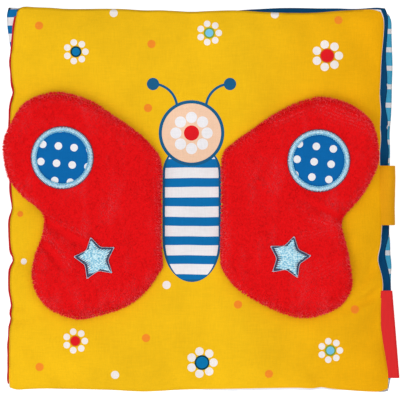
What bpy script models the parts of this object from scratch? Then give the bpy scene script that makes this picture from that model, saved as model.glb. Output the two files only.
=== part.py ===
"""Crinkle cloth book with a plush-winged butterfly on its front cover.

The book lies on its back cover. +X runs from the spine to the fore-edge,
+Y from the foot to the head, and +Z up through the covers. The origin is
the middle of the back cover's underside. Lengths are in metres.
"""

import math

import bmesh
import bpy
from mathutils import Vector

MM = 0.001

# Covers and leaves
BACK_COVER_WIDTH = 171.0 * MM
LEAF_TWO_WIDTH = 170.1 * MM
LEAF_ONE_WIDTH = 168.7 * MM
FRONT_COVER_WIDTH = 165.0 * MM
BOOK_HEIGHT = 170.0 * MM
BACK_COVER_THICKNESS = 7.6 * MM
LEAF_THICKNESS = 6.4 * MM
FRONT_COVER_THICKNESS = 7.0 * MM
SPINE_SET_IN = 1.8 * MM
CORNER_RADIUS = 9.0 * MM
SIDE_DRAW = 1.2 * MM
CROWN_REACH = 14.0 * MM

# Cloth, wadding and film
CLOTH = 0.6 * MM
FILM = 0.3 * MM
GAP = 0.3 * MM
BACK_SEAM_LEVEL = 4.3 * MM

# Spine strip
SPINE_STRIP = 0.8 * MM
SPINE_STRIP_HEIGHT = 158.0 * MM
SPINE_STRIP_BULGE = 0.5 * MM
HINGE_OUT = 3.6 * MM
HINGE_ABOVE_MIDDLE = 4.0 * MM

# Closure strap
STRAP = 0.8 * MM
STRAP_WIDTH = 26.6 * MM
STRAP_CENTRE_Y = 2.0 * MM
STRAP_END_LENGTH = 29.0 * MM
STRAP_ROOT_LEAST = 4.0 * MM
TAPE = 0.7 * MM
TAPE_LENGTH = 22.0 * MM
TAPE_WIDTH = 20.0 * MM
TAPE_INSET = 2.0 * MM
POCKET_CLEARANCE = 2.5 * MM
POCKET_SLOPE = 3.0 * MM

# Side label
LABEL_LENGTH = 39.0 * MM
LABEL_OUT = 5.6 * MM
LABEL_LEAN = 1.6 * MM
LABEL_THICKNESS = 1.0 * MM
LABEL_TOP_Y = -40.4 * MM

# Wings
WING_WIDTH = 71.5 * MM
WING_HEIGHT = 101.0 * MM
WING_THICKNESS = 6.2 * MM
WING_CROWN_REACH = 7.0 * MM
WING_EDGE = 1.2 * MM
BACKING = 0.6 * MM
PLUSH = 1.0 * MM
LEFT_WING_EDGE_X = -15.9 * MM
RIGHT_WING_EDGE_X = 9.1 * MM
WING_CENTRE_Y = -2.6 * MM

# Patches and stars
PATCH_RADIUS = 11.6 * MM
PATCH = 0.6 * MM
RING_WIDTH = 2.4 * MM
RING_THICKNESS = 1.0 * MM
STAR_RADIUS = 9.6 * MM
STAR_INNER_RADIUS = 4.6 * MM
STAR_THICKNESS = 0.9 * MM

# Shares of a width, a height or a reach
INSET_SHARES = (0.0, 0.09, 0.26, 0.57, 1.0)
CORNER_SHARES = (0.0, 0.13, 0.5, 1.0)
WING_RING_SHARES = (0.0, 0.18, 0.5, 1.0)
UPPER_LOBE_SHARES = (0.53, 0.71)
LOWER_LOBE_SHARES = (0.43, 0.24)
PATCH_PLACE_SHARES = (0.632, 0.706)
STAR_PLACE_SHARES = (0.433, 0.27)

# The wing's outline, as shares of its width from the sewn edge and of its
# height from its foot, going round from the top of the sewn edge.
WING_OUTLINE_SHARES = (
    (0.010, 0.670), (0.045, 0.745), (0.165, 0.830), (0.310, 0.900),
    (0.440, 0.960), (0.575, 0.995), (0.710, 0.990), (0.860, 0.950),
    (0.945, 0.885), (1.000, 0.790), (0.998, 0.705), (0.965, 0.618),
    (0.880, 0.540), (0.790, 0.500), (0.748, 0.452), (0.765, 0.370),
    (0.808, 0.280), (0.826, 0.190), (0.787, 0.105), (0.700, 0.040),
    (0.545, 0.000), (0.385, 0.018), (0.225, 0.057), (0.108, 0.123),
    (0.015, 0.214), (0.000, 0.252), (0.012, 0.330), (0.012, 0.500),
)

STAR_POINTS = 5
STAR_LEAN = math.radians(11)
ROUND_SIDES = 24
SPINE_STRIP_STEPS = 6

# Levels, worked out from the thicknesses
LEAF_TWO_LEVEL = BACK_COVER_THICKNESS + GAP
LEAF_ONE_LEVEL = LEAF_TWO_LEVEL + LEAF_THICKNESS + GAP
FRONT_COVER_LEVEL = LEAF_ONE_LEVEL + LEAF_THICKNESS + GAP
FRONT_COVER_TOP = FRONT_COVER_LEVEL + FRONT_COVER_THICKNESS
FRONT_SEAM_LEVEL = FRONT_COVER_LEVEL + FRONT_COVER_THICKNESS / 2
WING_LEVEL = FRONT_COVER_TOP + GAP
WING_TOP = WING_LEVEL + WING_THICKNESS

BACK_SPINE_X = -BACK_COVER_WIDTH / 2
SPINE_X = BACK_SPINE_X + SPINE_SET_IN
FRONT_EDGE_X = SPINE_X + FRONT_COVER_WIDTH
WIDEST_EDGE_X = max(
    BACK_SPINE_X + BACK_COVER_WIDTH, SPINE_X + LEAF_ONE_WIDTH, SPINE_X + LEAF_TWO_WIDTH,
    FRONT_EDGE_X + STRAP_ROOT_LEAST)
HINGE_X = SPINE_X - HINGE_OUT
HINGE_Z = FRONT_COVER_TOP / 2 + HINGE_ABOVE_MIDDLE

STRAP_SIDE_X = WIDEST_EDGE_X + GAP + STRAP / 2
STRAP_END_Z = GAP + STRAP / 2
HOOK_Z = STRAP_END_Z + STRAP / 2 + GAP + TAPE / 2
LOOP_Z = HOOK_Z + TAPE + GAP
POCKET_Z = LOOP_Z + TAPE / 2 + GAP
STRAP_TIP_X = STRAP_SIDE_X - STRAP_END_LENGTH
TAPE_X = STRAP_TIP_X + TAPE_INSET + TAPE_LENGTH / 2

COLOURS = {
    "yellow": (0.91, 0.53, 0.01),
    "orange": (0.85, 0.36, 0.01),
    "white": (0.85, 0.84, 0.83),
    "red": (0.70, 0.01, 0.02),
    "blue": (0.01, 0.19, 0.51),
    "pale_blue": (0.52, 0.77, 0.84),
    "navy": (0.01, 0.04, 0.12),
    "teal": (0.04, 0.36, 0.55),
    "label_red": (0.76, 0.02, 0.02),
    "tape_grey": (0.30, 0.30, 0.30),
}


def clear_scene():
    for obj in list(bpy.data.objects):
        bpy.data.objects.remove(obj, do_unlink=True)


def make_material(name, colour, roughness=0.85):
    material = bpy.data.materials.new(name)
    material.use_nodes = True
    shader = material.node_tree.nodes["Principled BSDF"]
    shader.inputs["Base Color"].default_value = (*COLOURS[colour], 1.0)
    shader.inputs["Roughness"].default_value = roughness
    return material


def make_empty(name, place, parent=None):
    empty = bpy.data.objects.new(name, None)
    empty.empty_display_size = CORNER_RADIUS
    bpy.context.scene.collection.objects.link(empty)
    empty.location = place
    if parent:
        empty.parent = parent
        empty.location = Vector(place) - world_place(parent)
    return empty


def world_place(obj):
    place = Vector(obj.location)
    while obj.parent:
        obj = obj.parent
        place += obj.location
    return place


def add_object(name, bm, colour, parent, roughness=0.85):
    """Makes an object of a mesh written in world places."""
    bmesh.ops.translate(bm, verts=bm.verts, vec=-world_place(parent))
    bmesh.ops.recalc_face_normals(bm, faces=bm.faces)
    mesh = bpy.data.meshes.new(name)
    bm.to_mesh(mesh)
    bm.free()
    mesh.materials.append(make_material(name, colour, roughness))
    obj = bpy.data.objects.new(name, mesh)
    bpy.context.scene.collection.objects.link(obj)
    obj.parent = parent
    return obj


def crown_share(distance, reach):
    """How much of the full height stands at a distance from the seam."""
    left = 1.0 - min(max(distance / reach, 0.0), 1.0)
    return math.sqrt(1.0 - left * left)


def merged(values, least):
    """Sorted values, with those dropped that lie too near the one before."""
    kept = []
    for value in sorted(values):
        if not kept or value - kept[-1] > least:
            kept.append(value)
    return kept


class Pad:
    """The outline and the cloth levels of one cover or leaf."""

    def __init__(self, left, width, low, seam, high, pocket=False):
        self.centre_x = left + width / 2
        self.half_x = width / 2
        self.half_y = BOOK_HEIGHT / 2
        self.low = low
        self.seam = seam
        self.high = high
        self.pocket = pocket
        insets = [CROWN_REACH * share for share in INSET_SHARES]
        corners = [CORNER_RADIUS * share for share in CORNER_SHARES]
        lines_x = [self.half_x - inset for inset in insets]
        lines_x += [-line for line in lines_x] + [0.0]
        lines_y = [self.half_y - inset for inset in insets + corners]
        lines_y += [-line for line in lines_y] + [0.0]
        if pocket:
            tip = STRAP_TIP_X - POCKET_CLEARANCE - self.centre_x
            lines_x += [tip, tip - POCKET_SLOPE]
            lines_y = [line for line in lines_y if line]
            for side in (-1, 1):
                reach = STRAP_WIDTH / 2 + POCKET_CLEARANCE
                lines_y += [STRAP_CENTRE_Y + side * reach]
                lines_y += [STRAP_CENTRE_Y + side * (reach + POCKET_SLOPE)]
        self.lines_x = merged(lines_x, GAP)
        self.lines_y = merged(lines_y, GAP)

    def inner(self, inset):
        """The grid lines that lie at least so far inside the seam."""
        room = inset - GAP / 2
        xs = [x for x in self.lines_x if self.half_x - abs(x) >= room]
        ys = [y for y in self.lines_y if self.half_y - abs(y) >= room]
        return xs, ys

    def place(self, x, y):
        """Draws the sides in and rounds the corners."""
        past = max(0.0, abs(y) - (self.half_y - CORNER_RADIUS))
        cut = CORNER_RADIUS - math.sqrt(max(CORNER_RADIUS ** 2 - past ** 2, 0.0))
        draw_x = SIDE_DRAW * (1.0 - (y / self.half_y) ** 2)
        draw_y = SIDE_DRAW * (1.0 - (x / self.half_x) ** 2)
        scale_x = (self.half_x - draw_x - cut) / self.half_x
        scale_y = (self.half_y - draw_y) / self.half_y
        return self.centre_x + x * scale_x, y * scale_y

    def share(self, x, y):
        return (crown_share(self.half_x - abs(x), CROWN_REACH)
                * crown_share(self.half_y - abs(y), CROWN_REACH))

    def in_pocket(self, x, y):
        reach = STRAP_WIDTH / 2 + POCKET_CLEARANCE + GAP
        tip = STRAP_TIP_X - POCKET_CLEARANCE - self.centre_x - GAP
        return self.pocket and x > tip and abs(y - STRAP_CENTRE_Y) < reach

    def upper_inner(self, x, y):
        base = self.seam + GAP / 2
        return base + (self.high - CLOTH - base) * self.share(x, y)

    def lower_outer(self, x, y):
        base = self.seam - GAP / 2 - CLOTH
        if self.in_pocket(x, y):
            return max(POCKET_Z, self.low)
        return base - (base - self.low) * self.share(x, y)

    def sheet(self, bottom, top, inset=0.0):
        """A closed body between two levels over the grid."""
        xs, ys = self.inner(inset)
        bm = bmesh.new()
        grids = []
        for level in (bottom, top):
            rows = []
            for y in ys:
                row = []
                for x in xs:
                    px, py = self.place(x, y)
                    row.append(bm.verts.new((px, py, level(x, y))))
                rows.append(row)
            grids.append(rows)
        for rows in grids:
            for low_row, high_row in zip(rows, rows[1:]):
                for i in range(len(xs) - 1):
                    bm.faces.new((low_row[i], low_row[i + 1], high_row[i + 1], high_row[i]))
        borders = [border_of(rows) for rows in grids]
        for i in range(len(borders[0])):
            j = (i + 1) % len(borders[0])
            bm.faces.new((borders[0][i], borders[0][j], borders[1][j], borders[1][i]))
        return bm

    def upper_panel(self):
        return self.sheet(self.upper_inner, lambda x, y: self.upper_inner(x, y) + CLOTH)

    def lower_panel(self):
        return self.sheet(self.lower_outer, lambda x, y: self.lower_outer(x, y) + CLOTH)

    def filling(self, film):
        """The wadding, between the cloths and above the film if it has one."""
        inset = CROWN_REACH * INSET_SHARES[2]
        under = CLOTH + GAP + ((FILM + GAP) if film else 0.0)
        return self.sheet(
            lambda x, y: self.lower_outer(x, y) + under,
            lambda x, y: self.upper_inner(x, y) - GAP,
            inset,
        )

    def film(self):
        inset = CROWN_REACH * INSET_SHARES[2]
        lift = CLOTH + GAP
        return self.sheet(
            lambda x, y: self.lower_outer(x, y) + lift,
            lambda x, y: self.lower_outer(x, y) + lift + FILM,
            inset,
        )


def border_of(rows):
    """The grid's border points, once round."""
    bottom = rows[0]
    right = [row[-1] for row in rows[1:]]
    top = list(reversed(rows[-1]))[1:]
    left = [row[0] for row in reversed(rows[1:-1])]
    return bottom + right + top + left


def plate(corners, low, high):
    """A flat closed body over an outline, between two levels."""
    bm = bmesh.new()
    below = [bm.verts.new((x, y, low)) for x, y in corners]
    above = [bm.verts.new((x, y, high)) for x, y in corners]
    bm.faces.new(list(reversed(below)))
    bm.faces.new(above)
    count = len(corners)
    for i in range(count):
        j = (i + 1) % count
        bm.faces.new((below[i], below[j], above[j], above[i]))
    return bm


def strip(section, low_y, high_y):
    """A closed body of one X-Z section run along Y."""
    bm = bmesh.new()
    near = [bm.verts.new((x, low_y, z)) for x, z in section]
    far = [bm.verts.new((x, high_y, z)) for x, z in section]
    bm.faces.new(near)
    bm.faces.new(list(reversed(far)))
    count = len(section)
    for i in range(count):
        j = (i + 1) % count
        bm.faces.new((near[i], far[i], far[j], near[j]))
    return bm


def box_section(low_x, high_x, low_z, high_z):
    return [(low_x, low_z), (high_x, low_z), (high_x, high_z), (low_x, high_z)]


def ring_points(radius, count, turn=0.0):
    step = 2 * math.pi / count
    return [(radius * math.cos(turn + i * step), radius * math.sin(turn + i * step))
            for i in range(count)]


def make_leaf(name, pad, colours, parent, film):
    front, back = colours
    add_object(f"{name}_front_panel", pad.upper_panel(), front, parent)
    add_object(f"{name}_back_panel", pad.lower_panel(), back, parent)
    add_object(f"{name}_wadding", pad.filling(film), "white", parent)
    if film:
        add_object(f"{name}_crinkle_film", pad.film(), "white", parent, 0.3)


def make_back_cover(parent):
    pad = Pad(BACK_SPINE_X, BACK_COVER_WIDTH, 0.0, BACK_SEAM_LEVEL,
              BACK_COVER_THICKNESS, pocket=True)
    add_object("back_cover_panel", pad.lower_panel(), "blue", parent)
    add_object("back_cover_lining", pad.upper_panel(), "blue", parent)
    add_object("back_cover_wadding", pad.filling(True), "white", parent)
    add_object("back_cover_crinkle_film", pad.film(), "white", parent, 0.3)
    half = TAPE_LENGTH / 2
    section = box_section(TAPE_X - half, TAPE_X + half, LOOP_Z - TAPE / 2, LOOP_Z + TAPE / 2)
    loop = strip(section, STRAP_CENTRE_Y - TAPE_WIDTH / 2, STRAP_CENTRE_Y + TAPE_WIDTH / 2)
    add_object("loop_tape", loop, "tape_grey", parent)


def make_spine_strip(parent):
    """A cloth strip up the spine, bowed out a little between the covers."""
    inner_x = SPINE_X - GAP
    share = crown_share(SPINE_SET_IN, CROWN_REACH)
    low = BACK_SEAM_LEVEL + (BACK_COVER_THICKNESS - BACK_SEAM_LEVEL) * share + GAP
    high = FRONT_SEAM_LEVEL
    inner = []
    outer = []
    for i in range(SPINE_STRIP_STEPS + 1):
        along = i / SPINE_STRIP_STEPS
        z = low + (high - low) * along
        bow = SPINE_STRIP_BULGE * math.sin(math.pi * along)
        inner.append((inner_x - bow, z))
        outer.append((inner_x - bow - SPINE_STRIP, z))
    section = inner + list(reversed(outer))
    bm = strip(section, -SPINE_STRIP_HEIGHT / 2, SPINE_STRIP_HEIGHT / 2)
    add_object("spine_strip", bm, "red", parent)


def make_leaf_two(parent):
    low = LEAF_TWO_LEVEL
    pad = Pad(SPINE_X, LEAF_TWO_WIDTH, low, low + LEAF_THICKNESS / 2, low + LEAF_THICKNESS)
    make_leaf("leaf_two", pad, ("teal", "yellow"), parent, film=False)


def make_leaf_one(parent):
    low = LEAF_ONE_LEVEL
    pad = Pad(SPINE_X, LEAF_ONE_WIDTH, low, low + LEAF_THICKNESS / 2, low + LEAF_THICKNESS)
    make_leaf("leaf_one", pad, ("navy", "pale_blue"), parent, film=True)


def make_front_cover(parent):
    pad = Pad(SPINE_X, FRONT_COVER_WIDTH, FRONT_COVER_LEVEL, FRONT_SEAM_LEVEL, FRONT_COVER_TOP)
    add_object("front_cover_panel", pad.upper_panel(), "yellow", parent)
    add_object("front_cover_lining", pad.lower_panel(), "white", parent)
    add_object("front_cover_wadding", pad.filling(True), "white", parent)
    add_object("front_cover_crinkle_film", pad.film(), "white", parent, 0.3)
    make_label(parent)
    section = box_section(
        FRONT_EDGE_X + GAP - SIDE_DRAW, STRAP_SIDE_X - STRAP / 2 - 2 * GAP,
        FRONT_SEAM_LEVEL - STRAP / 2, FRONT_SEAM_LEVEL + STRAP / 2)
    root = strip(section, STRAP_CENTRE_Y - STRAP_WIDTH / 2, STRAP_CENTRE_Y + STRAP_WIDTH / 2)
    add_object("closure_strap_root", root, "orange", parent)


def make_label(parent):
    """A folded ribbon in the fore-edge seam, leaning out towards the foot."""
    inner = FRONT_EDGE_X + GAP
    foot_y = LABEL_TOP_Y - LABEL_LENGTH
    corners = [
        (inner, LABEL_TOP_Y), (inner, foot_y),
        (inner + LABEL_OUT + LABEL_LEAN, foot_y), (inner + LABEL_OUT, LABEL_TOP_Y),
    ]
    low = FRONT_SEAM_LEVEL - LABEL_THICKNESS / 2
    add_object("side_label", plate(corners, low, low + LABEL_THICKNESS), "label_red", parent)


def wing_place(side, edge_x, share_x, share_y):
    """A place on a wing, from shares of its width and height."""
    x = edge_x + side * share_x * WING_WIDTH
    y = WING_CENTRE_Y + (share_y - 0.5) * WING_HEIGHT
    return Vector((x, y))


def wing_rings(side, edge_x, reach):
    """Outlines of the wing, each drawn in further than the one before."""
    upper = wing_place(side, edge_x, *UPPER_LOBE_SHARES)
    lower = wing_place(side, edge_x, *LOWER_LOBE_SHARES)
    axis = upper - lower
    rings = []
    for ring_share in WING_RING_SHARES:
        ring = []
        for share_x, share_y in WING_OUTLINE_SHARES:
            point = wing_place(side, edge_x, share_x, share_y)
            along = min(max((point - lower).dot(axis) / axis.length_squared, 0.0), 1.0)
            inward = lower + axis * along - point
            ring.append(point + inward.normalized() * (reach * ring_share))
        rings.append(ring)
    return rings


def stack_rings(bm, rings, level):
    """A dished surface through the rings, closed at its middle by one face."""
    loops = []
    for ring, ring_share in zip(rings, WING_RING_SHARES):
        z = level(ring_share)
        loops.append([bm.verts.new((p.x, p.y, z)) for p in ring])
    for outer, inner in zip(loops, loops[1:]):
        for i in range(len(outer)):
            j = (i + 1) % len(outer)
            bm.faces.new((outer[i], outer[j], inner[j], inner[i]))
    bm.faces.new(loops[-1])
    return loops[0]


def close_rims(bm, below, above):
    for i in range(len(below)):
        j = (i + 1) % len(below)
        bm.faces.new((below[i], below[j], above[j], above[i]))


def make_wing(name, side, edge_x, parent):
    """Plush face, backing cloth and wadding, with the patch and star on top."""
    rings = wing_rings(side, edge_x, WING_CROWN_REACH)
    backing_top = WING_LEVEL + BACKING
    plush_low = backing_top + GAP
    rise = WING_TOP - WING_EDGE - plush_low

    def plush_outer(share):
        return plush_low + WING_EDGE + rise * crown_share(share, 1.0)

    def plush_inner(share):
        return plush_outer(share) - WING_EDGE * (1.0 - share) - PLUSH * share

    bm = plate([(p.x, p.y) for p in rings[0]], WING_LEVEL, backing_top)
    add_object(f"{name}_wing_backing", bm, "red", parent)

    bm = bmesh.new()
    below = stack_rings(bm, rings, plush_inner)
    above = stack_rings(bm, rings, plush_outer)
    close_rims(bm, below, above)
    add_object(f"{name}_wing_plush", bm, "red", parent, 0.95)

    bm = bmesh.new()
    inner_rings = rings[2:]
    top_loops = []
    for ring, share in zip(inner_rings, WING_RING_SHARES[2:]):
        z = plush_inner(share) - GAP
        top_loops.append([bm.verts.new((p.x, p.y, z)) for p in ring])
    floor_loop = [bm.verts.new((p.x, p.y, plush_low)) for p in inner_rings[0]]
    bm.faces.new(floor_loop)
    close_rims(bm, floor_loop, top_loops[0])
    close_rims(bm, top_loops[0], top_loops[1])
    bm.faces.new(top_loops[1])
    add_object(f"{name}_wing_wadding", bm, "white", parent)

    centre = wing_place(side, edge_x, *PATCH_PLACE_SHARES)
    make_patch(name, centre, parent)
    centre = wing_place(side, edge_x, *STAR_PLACE_SHARES)
    make_star(name, centre, side, parent)


def make_patch(name, centre, parent):
    """A round dotted cloth patch and the stitched ring round it."""
    low = WING_TOP + GAP
    circle = [(centre.x + x, centre.y + y) for x, y in ring_points(PATCH_RADIUS, ROUND_SIDES)]
    add_object(f"{name}_dot_patch", plate(circle, low, low + PATCH), "blue", parent)

    bm = bmesh.new()
    inner_radius = PATCH_RADIUS + GAP
    section = [
        (inner_radius, low), (inner_radius + RING_WIDTH, low),
        (inner_radius + RING_WIDTH, low + RING_THICKNESS / 2),
        (inner_radius + RING_WIDTH / 2, low + RING_THICKNESS),
        (inner_radius, low + RING_THICKNESS / 2),
    ]
    loops = []
    for turn in range(ROUND_SIDES):
        angle = 2 * math.pi * turn / ROUND_SIDES
        loops.append([
            bm.verts.new((centre.x + r * math.cos(angle), centre.y + r * math.sin(angle), z))
            for r, z in section
        ])
    for i, loop in enumerate(loops):
        close_rims(bm, loop, loops[(i + 1) % len(loops)])
    add_object(f"{name}_patch_ring", bm, "pale_blue", parent)


def make_star(name, centre, side, parent):
    outline = []
    turn = math.pi / 2 - side * STAR_LEAN
    tips = ring_points(STAR_RADIUS, STAR_POINTS, turn)
    notches = ring_points(STAR_INNER_RADIUS, STAR_POINTS, turn + math.pi / STAR_POINTS)
    for tip, notch in zip(tips, notches):
        outline += [tip, notch]
    corners = [(centre.x + x, centre.y + y) for x, y in outline]
    low = WING_TOP + GAP
    add_object(f"{name}_star", plate(corners, low, low + STAR_THICKNESS), "pale_blue", parent)


def make_strap_side(parent):
    section = box_section(
        STRAP_SIDE_X - STRAP / 2, STRAP_SIDE_X + STRAP / 2,
        STRAP_END_Z - STRAP / 2, FRONT_SEAM_LEVEL - STRAP / 2)
    bm = strip(section, STRAP_CENTRE_Y - STRAP_WIDTH / 2, STRAP_CENTRE_Y + STRAP_WIDTH / 2)
    add_object("closure_strap_side", bm, "orange", parent)


def make_strap_end(parent):
    section = box_section(
        STRAP_TIP_X, STRAP_SIDE_X - STRAP / 2 - GAP,
        STRAP_END_Z - STRAP / 2, STRAP_END_Z + STRAP / 2)
    bm = strip(section, STRAP_CENTRE_Y - STRAP_WIDTH / 2, STRAP_CENTRE_Y + STRAP_WIDTH / 2)
    add_object("closure_strap_end", bm, "orange", parent)
    half = TAPE_LENGTH / 2
    section = box_section(TAPE_X - half, TAPE_X + half, HOOK_Z - TAPE / 2, HOOK_Z + TAPE / 2)
    bm = strip(section, STRAP_CENTRE_Y - TAPE_WIDTH / 2, STRAP_CENTRE_Y + TAPE_WIDTH / 2)
    add_object("hook_tape", bm, "tape_grey", parent)


def main():
    clear_scene()
    back_cover = make_empty("back_cover_body", (0.0, 0.0, 0.0))
    hinge = (HINGE_X, 0.0, HINGE_Z)
    leaf_two = make_empty("leaf_two_hinge", hinge, back_cover)
    leaf_one = make_empty("leaf_one_hinge", hinge, back_cover)
    front_cover = make_empty("front_cover_hinge", hinge, back_cover)
    left_wing = make_empty("left_wing_hinge", (LEFT_WING_EDGE_X, 0.0, WING_LEVEL), front_cover)
    right_wing = make_empty("right_wing_hinge", (RIGHT_WING_EDGE_X, 0.0, WING_LEVEL), front_cover)
    strap_side = make_empty(
        "strap_side_hinge", (STRAP_SIDE_X, STRAP_CENTRE_Y, FRONT_SEAM_LEVEL), front_cover)
    strap_end = make_empty(
        "strap_end_hinge", (STRAP_SIDE_X, STRAP_CENTRE_Y, STRAP_END_Z), strap_side)

    make_back_cover(back_cover)
    make_spine_strip(back_cover)
    make_leaf_two(leaf_two)
    make_leaf_one(leaf_one)
    make_front_cover(front_cover)
    make_wing("left", -1, LEFT_WING_EDGE_X, left_wing)
    make_wing("right", 1, RIGHT_WING_EDGE_X, right_wing)
    make_strap_side(strap_side)
    make_strap_end(strap_end)


main()
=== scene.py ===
"""The looks of the crinkle cloth book: padded cotton covers and leaves, plush
wings with stitched patches, the closure strap and the side label.

Everything is in metres in the frame's own places: +X to the fore-edge, +Y to
the head and +Z up through the covers.
"""

import math

import bpy
import numpy as np
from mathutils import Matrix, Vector, noise


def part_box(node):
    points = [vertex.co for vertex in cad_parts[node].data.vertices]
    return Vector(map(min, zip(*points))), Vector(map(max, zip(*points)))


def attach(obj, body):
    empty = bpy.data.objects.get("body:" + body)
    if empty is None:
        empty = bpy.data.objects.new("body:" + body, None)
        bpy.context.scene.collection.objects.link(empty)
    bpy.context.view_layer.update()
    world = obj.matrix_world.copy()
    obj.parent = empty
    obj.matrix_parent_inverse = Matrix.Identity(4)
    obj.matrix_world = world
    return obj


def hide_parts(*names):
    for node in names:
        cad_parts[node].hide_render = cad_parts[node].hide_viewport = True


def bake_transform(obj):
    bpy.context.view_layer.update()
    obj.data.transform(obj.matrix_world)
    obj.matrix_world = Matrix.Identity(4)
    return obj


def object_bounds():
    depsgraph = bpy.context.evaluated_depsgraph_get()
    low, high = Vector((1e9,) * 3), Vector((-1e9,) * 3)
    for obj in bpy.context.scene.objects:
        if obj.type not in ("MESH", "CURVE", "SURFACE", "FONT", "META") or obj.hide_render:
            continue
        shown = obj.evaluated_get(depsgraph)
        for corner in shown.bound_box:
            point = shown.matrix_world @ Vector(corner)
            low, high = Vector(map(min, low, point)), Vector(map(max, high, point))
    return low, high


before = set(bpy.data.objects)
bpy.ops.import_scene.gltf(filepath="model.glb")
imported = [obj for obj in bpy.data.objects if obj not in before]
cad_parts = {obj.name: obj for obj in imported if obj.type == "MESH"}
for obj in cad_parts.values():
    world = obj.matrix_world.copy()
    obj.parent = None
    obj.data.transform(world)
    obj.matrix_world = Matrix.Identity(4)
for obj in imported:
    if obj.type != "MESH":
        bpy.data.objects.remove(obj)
cad_low, cad_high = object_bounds()

MM = 0.001


def low_of(node):
    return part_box(node)[0].z


def high_of(node):
    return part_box(node)[1].z


# Places in the photograph, in pixels of its 400 by 400 frame
PICTURE_PIXELS = 400
COVER_PIXELS = 371
PIXEL = 165.0 * MM / COVER_PIXELS
COVER_MIDDLE_PIXEL = (196.5, 200.0)
# How high the camera stands over the cover
CAMERA_RISE = 1.5
COVER_LOW, COVER_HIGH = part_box("front_cover_panel")
COVER_MIDDLE = (COVER_LOW + COVER_HIGH) / 2
COVER_TOP = COVER_HIGH.z
FRONT_SEAM = (low_of("closure_strap_root") + high_of("closure_strap_root")) / 2
BACK_SEAM = low_of("back_cover_lining")


def at(px, py):
    """The frame's X and Y under a pixel of the photograph."""
    x = COVER_MIDDLE.x + (px - COVER_MIDDLE_PIXEL[0]) * PIXEL
    y = (COVER_MIDDLE_PIXEL[1] - py) * PIXEL
    return x, y


def seen_at(line, level):
    """Spreads pixels read from the photograph, because what lies lower looks smaller."""
    grow = 1 + (COVER_TOP - level) / CAMERA_RISE
    half = PICTURE_PIXELS / 2
    return [(half + (px - half) * grow, half + (py - half) * grow) for px, py in line]


def to_pixels(places):
    px = (places[:, 0] - COVER_MIDDLE.x) / PIXEL + COVER_MIDDLE_PIXEL[0]
    py = COVER_MIDDLE_PIXEL[1] - places[:, 1] / PIXEL
    return np.stack([px, py], 1)


# Colours

def linear(code):
    """An sRGB hex colour as the linear values that a shader takes."""
    parts = [int(code[i:i + 2], 16) / 255 for i in (1, 3, 5)]
    values = [p / 12.92 if p <= 0.04045 else ((p + 0.055) / 1.055) ** 2.4 for p in parts]
    return (*values, 1.0)


YELLOW_LEFT = linear("#F6C014")
# The cover's yellow with painted shade, for the side that lies away from the light
YELLOW_PAINTED_SHADE = linear("#F2AD04")
# The cover's yellow with painted shade, for the strap that tilts away from the light
STRAP_YELLOW_PAINTED_SHADE = linear("#E6A00E")
WHITE = linear("#F3F1F4")
WARM_WHITE = linear("#F6EEEA")
PRINT_BLUE = linear("#0A72B4")
OUTLINE_BLUE = linear("#1A5F8C")
FLOWER_BLUE = linear("#0577B2")
PATCH_BLUE = linear("#0668AE")
SKY = linear("#78C6E9")
PALE_BLUE = linear("#CFE6F1")
PRINT_RED = linear("#E41A22")
PRINT_ORANGE = linear("#F98F28")
PEACH = linear("#F8CFB0")
GREEN_RIM = linear("#86A23C")
DARK_RIM = linear("#0A3D45")
RED_RIM = linear("#D07A1C")
NAVY = linear("#054A78")
TEAL = linear("#4BB2DA")
CLOTH_RED = linear("#C41A1E")
PLUSH_RED = linear("#EC1015")
PLUSH_GROUND = linear("#EC0D13")
# The deeper red of painted shade in the wings' fold valleys
PLUSH_PAINTED_FOLD_SHADE = linear("#C4060C")
PLUSH_SHEEN = linear("#FF4048")
# The pale pink of brushed-up tips, also used for painted highlights on rims and fold ridges
PLUSH_LIGHT = linear("#FF727C")
SATIN = linear("#D6F3FF")
SATIN_SHADE = linear("#8CCDEC")
RING_BLUE = linear("#86CDEA")
RING_BLUE_SHADE = linear("#55AFD6")
STAR_PALE = linear("#C9CCD6")
STAR_BLUE = linear("#D6F4FC")
STAR_SHADE = linear("#7CC2DE")
SLATE = linear("#1E3562")
SLATE_SHADE = linear("#122444")
LABEL_RED = linear("#E5201E")
LABEL_RED_SHADE = linear("#CE161C")
TAPE_WHITE = linear("#E9E8E4")
TAPE_SHADE = linear("#CFCDC8")
FLOOR_WHITE = linear("#F4F4F4")


# Node tools

def feed(tree, node, feeds):
    """Sets or links a node's inputs, which are listed in order or named.

    Each feed is a value, an output or a node, whose first output is taken.
    """
    for key, value in feeds.items() if isinstance(feeds, dict) else enumerate(feeds):
        if isinstance(value, bpy.types.Node):
            value = value.outputs[0]
        if isinstance(value, bpy.types.NodeSocket):
            tree.links.new(value, node.inputs[key])
        elif value is not None:
            node.inputs[key].default_value = value


def add(tree, kind, feeds=(), **settings):
    """Adds a shader node with its settings and what feeds it."""
    made = tree.nodes.new("ShaderNode" + kind)
    for name, value in settings.items():
        setattr(made, name, value)
    feed(tree, made, feeds)
    return made


def start_material(name):
    material = bpy.data.materials.new(name)
    material.use_nodes = True
    tree = material.node_tree
    place = add(tree, "TexCoord").outputs["Object"]
    return material, tree, tree.nodes["Principled BSDF"], place


def lay_ink(tree, ground, share, ink):
    """The ground's colour with a share of ink laid over it."""
    return add(tree, "Mix", {0: share, 6: ground, 7: ink}, data_type="RGBA").outputs[2]


def unevenness(tree, place, size, stretch=(1.0, 1.0, 1.0), detail=2.0):
    """How cloth varies from place to place: from 0 to 1, in patches of about the size."""
    drawn_out = add(tree, "Mapping", {"Vector": place, "Scale": stretch})
    return add(tree, "TexNoise", {"Vector": drawn_out, "Scale": 1.0 / size, "Detail": detail})


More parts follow.
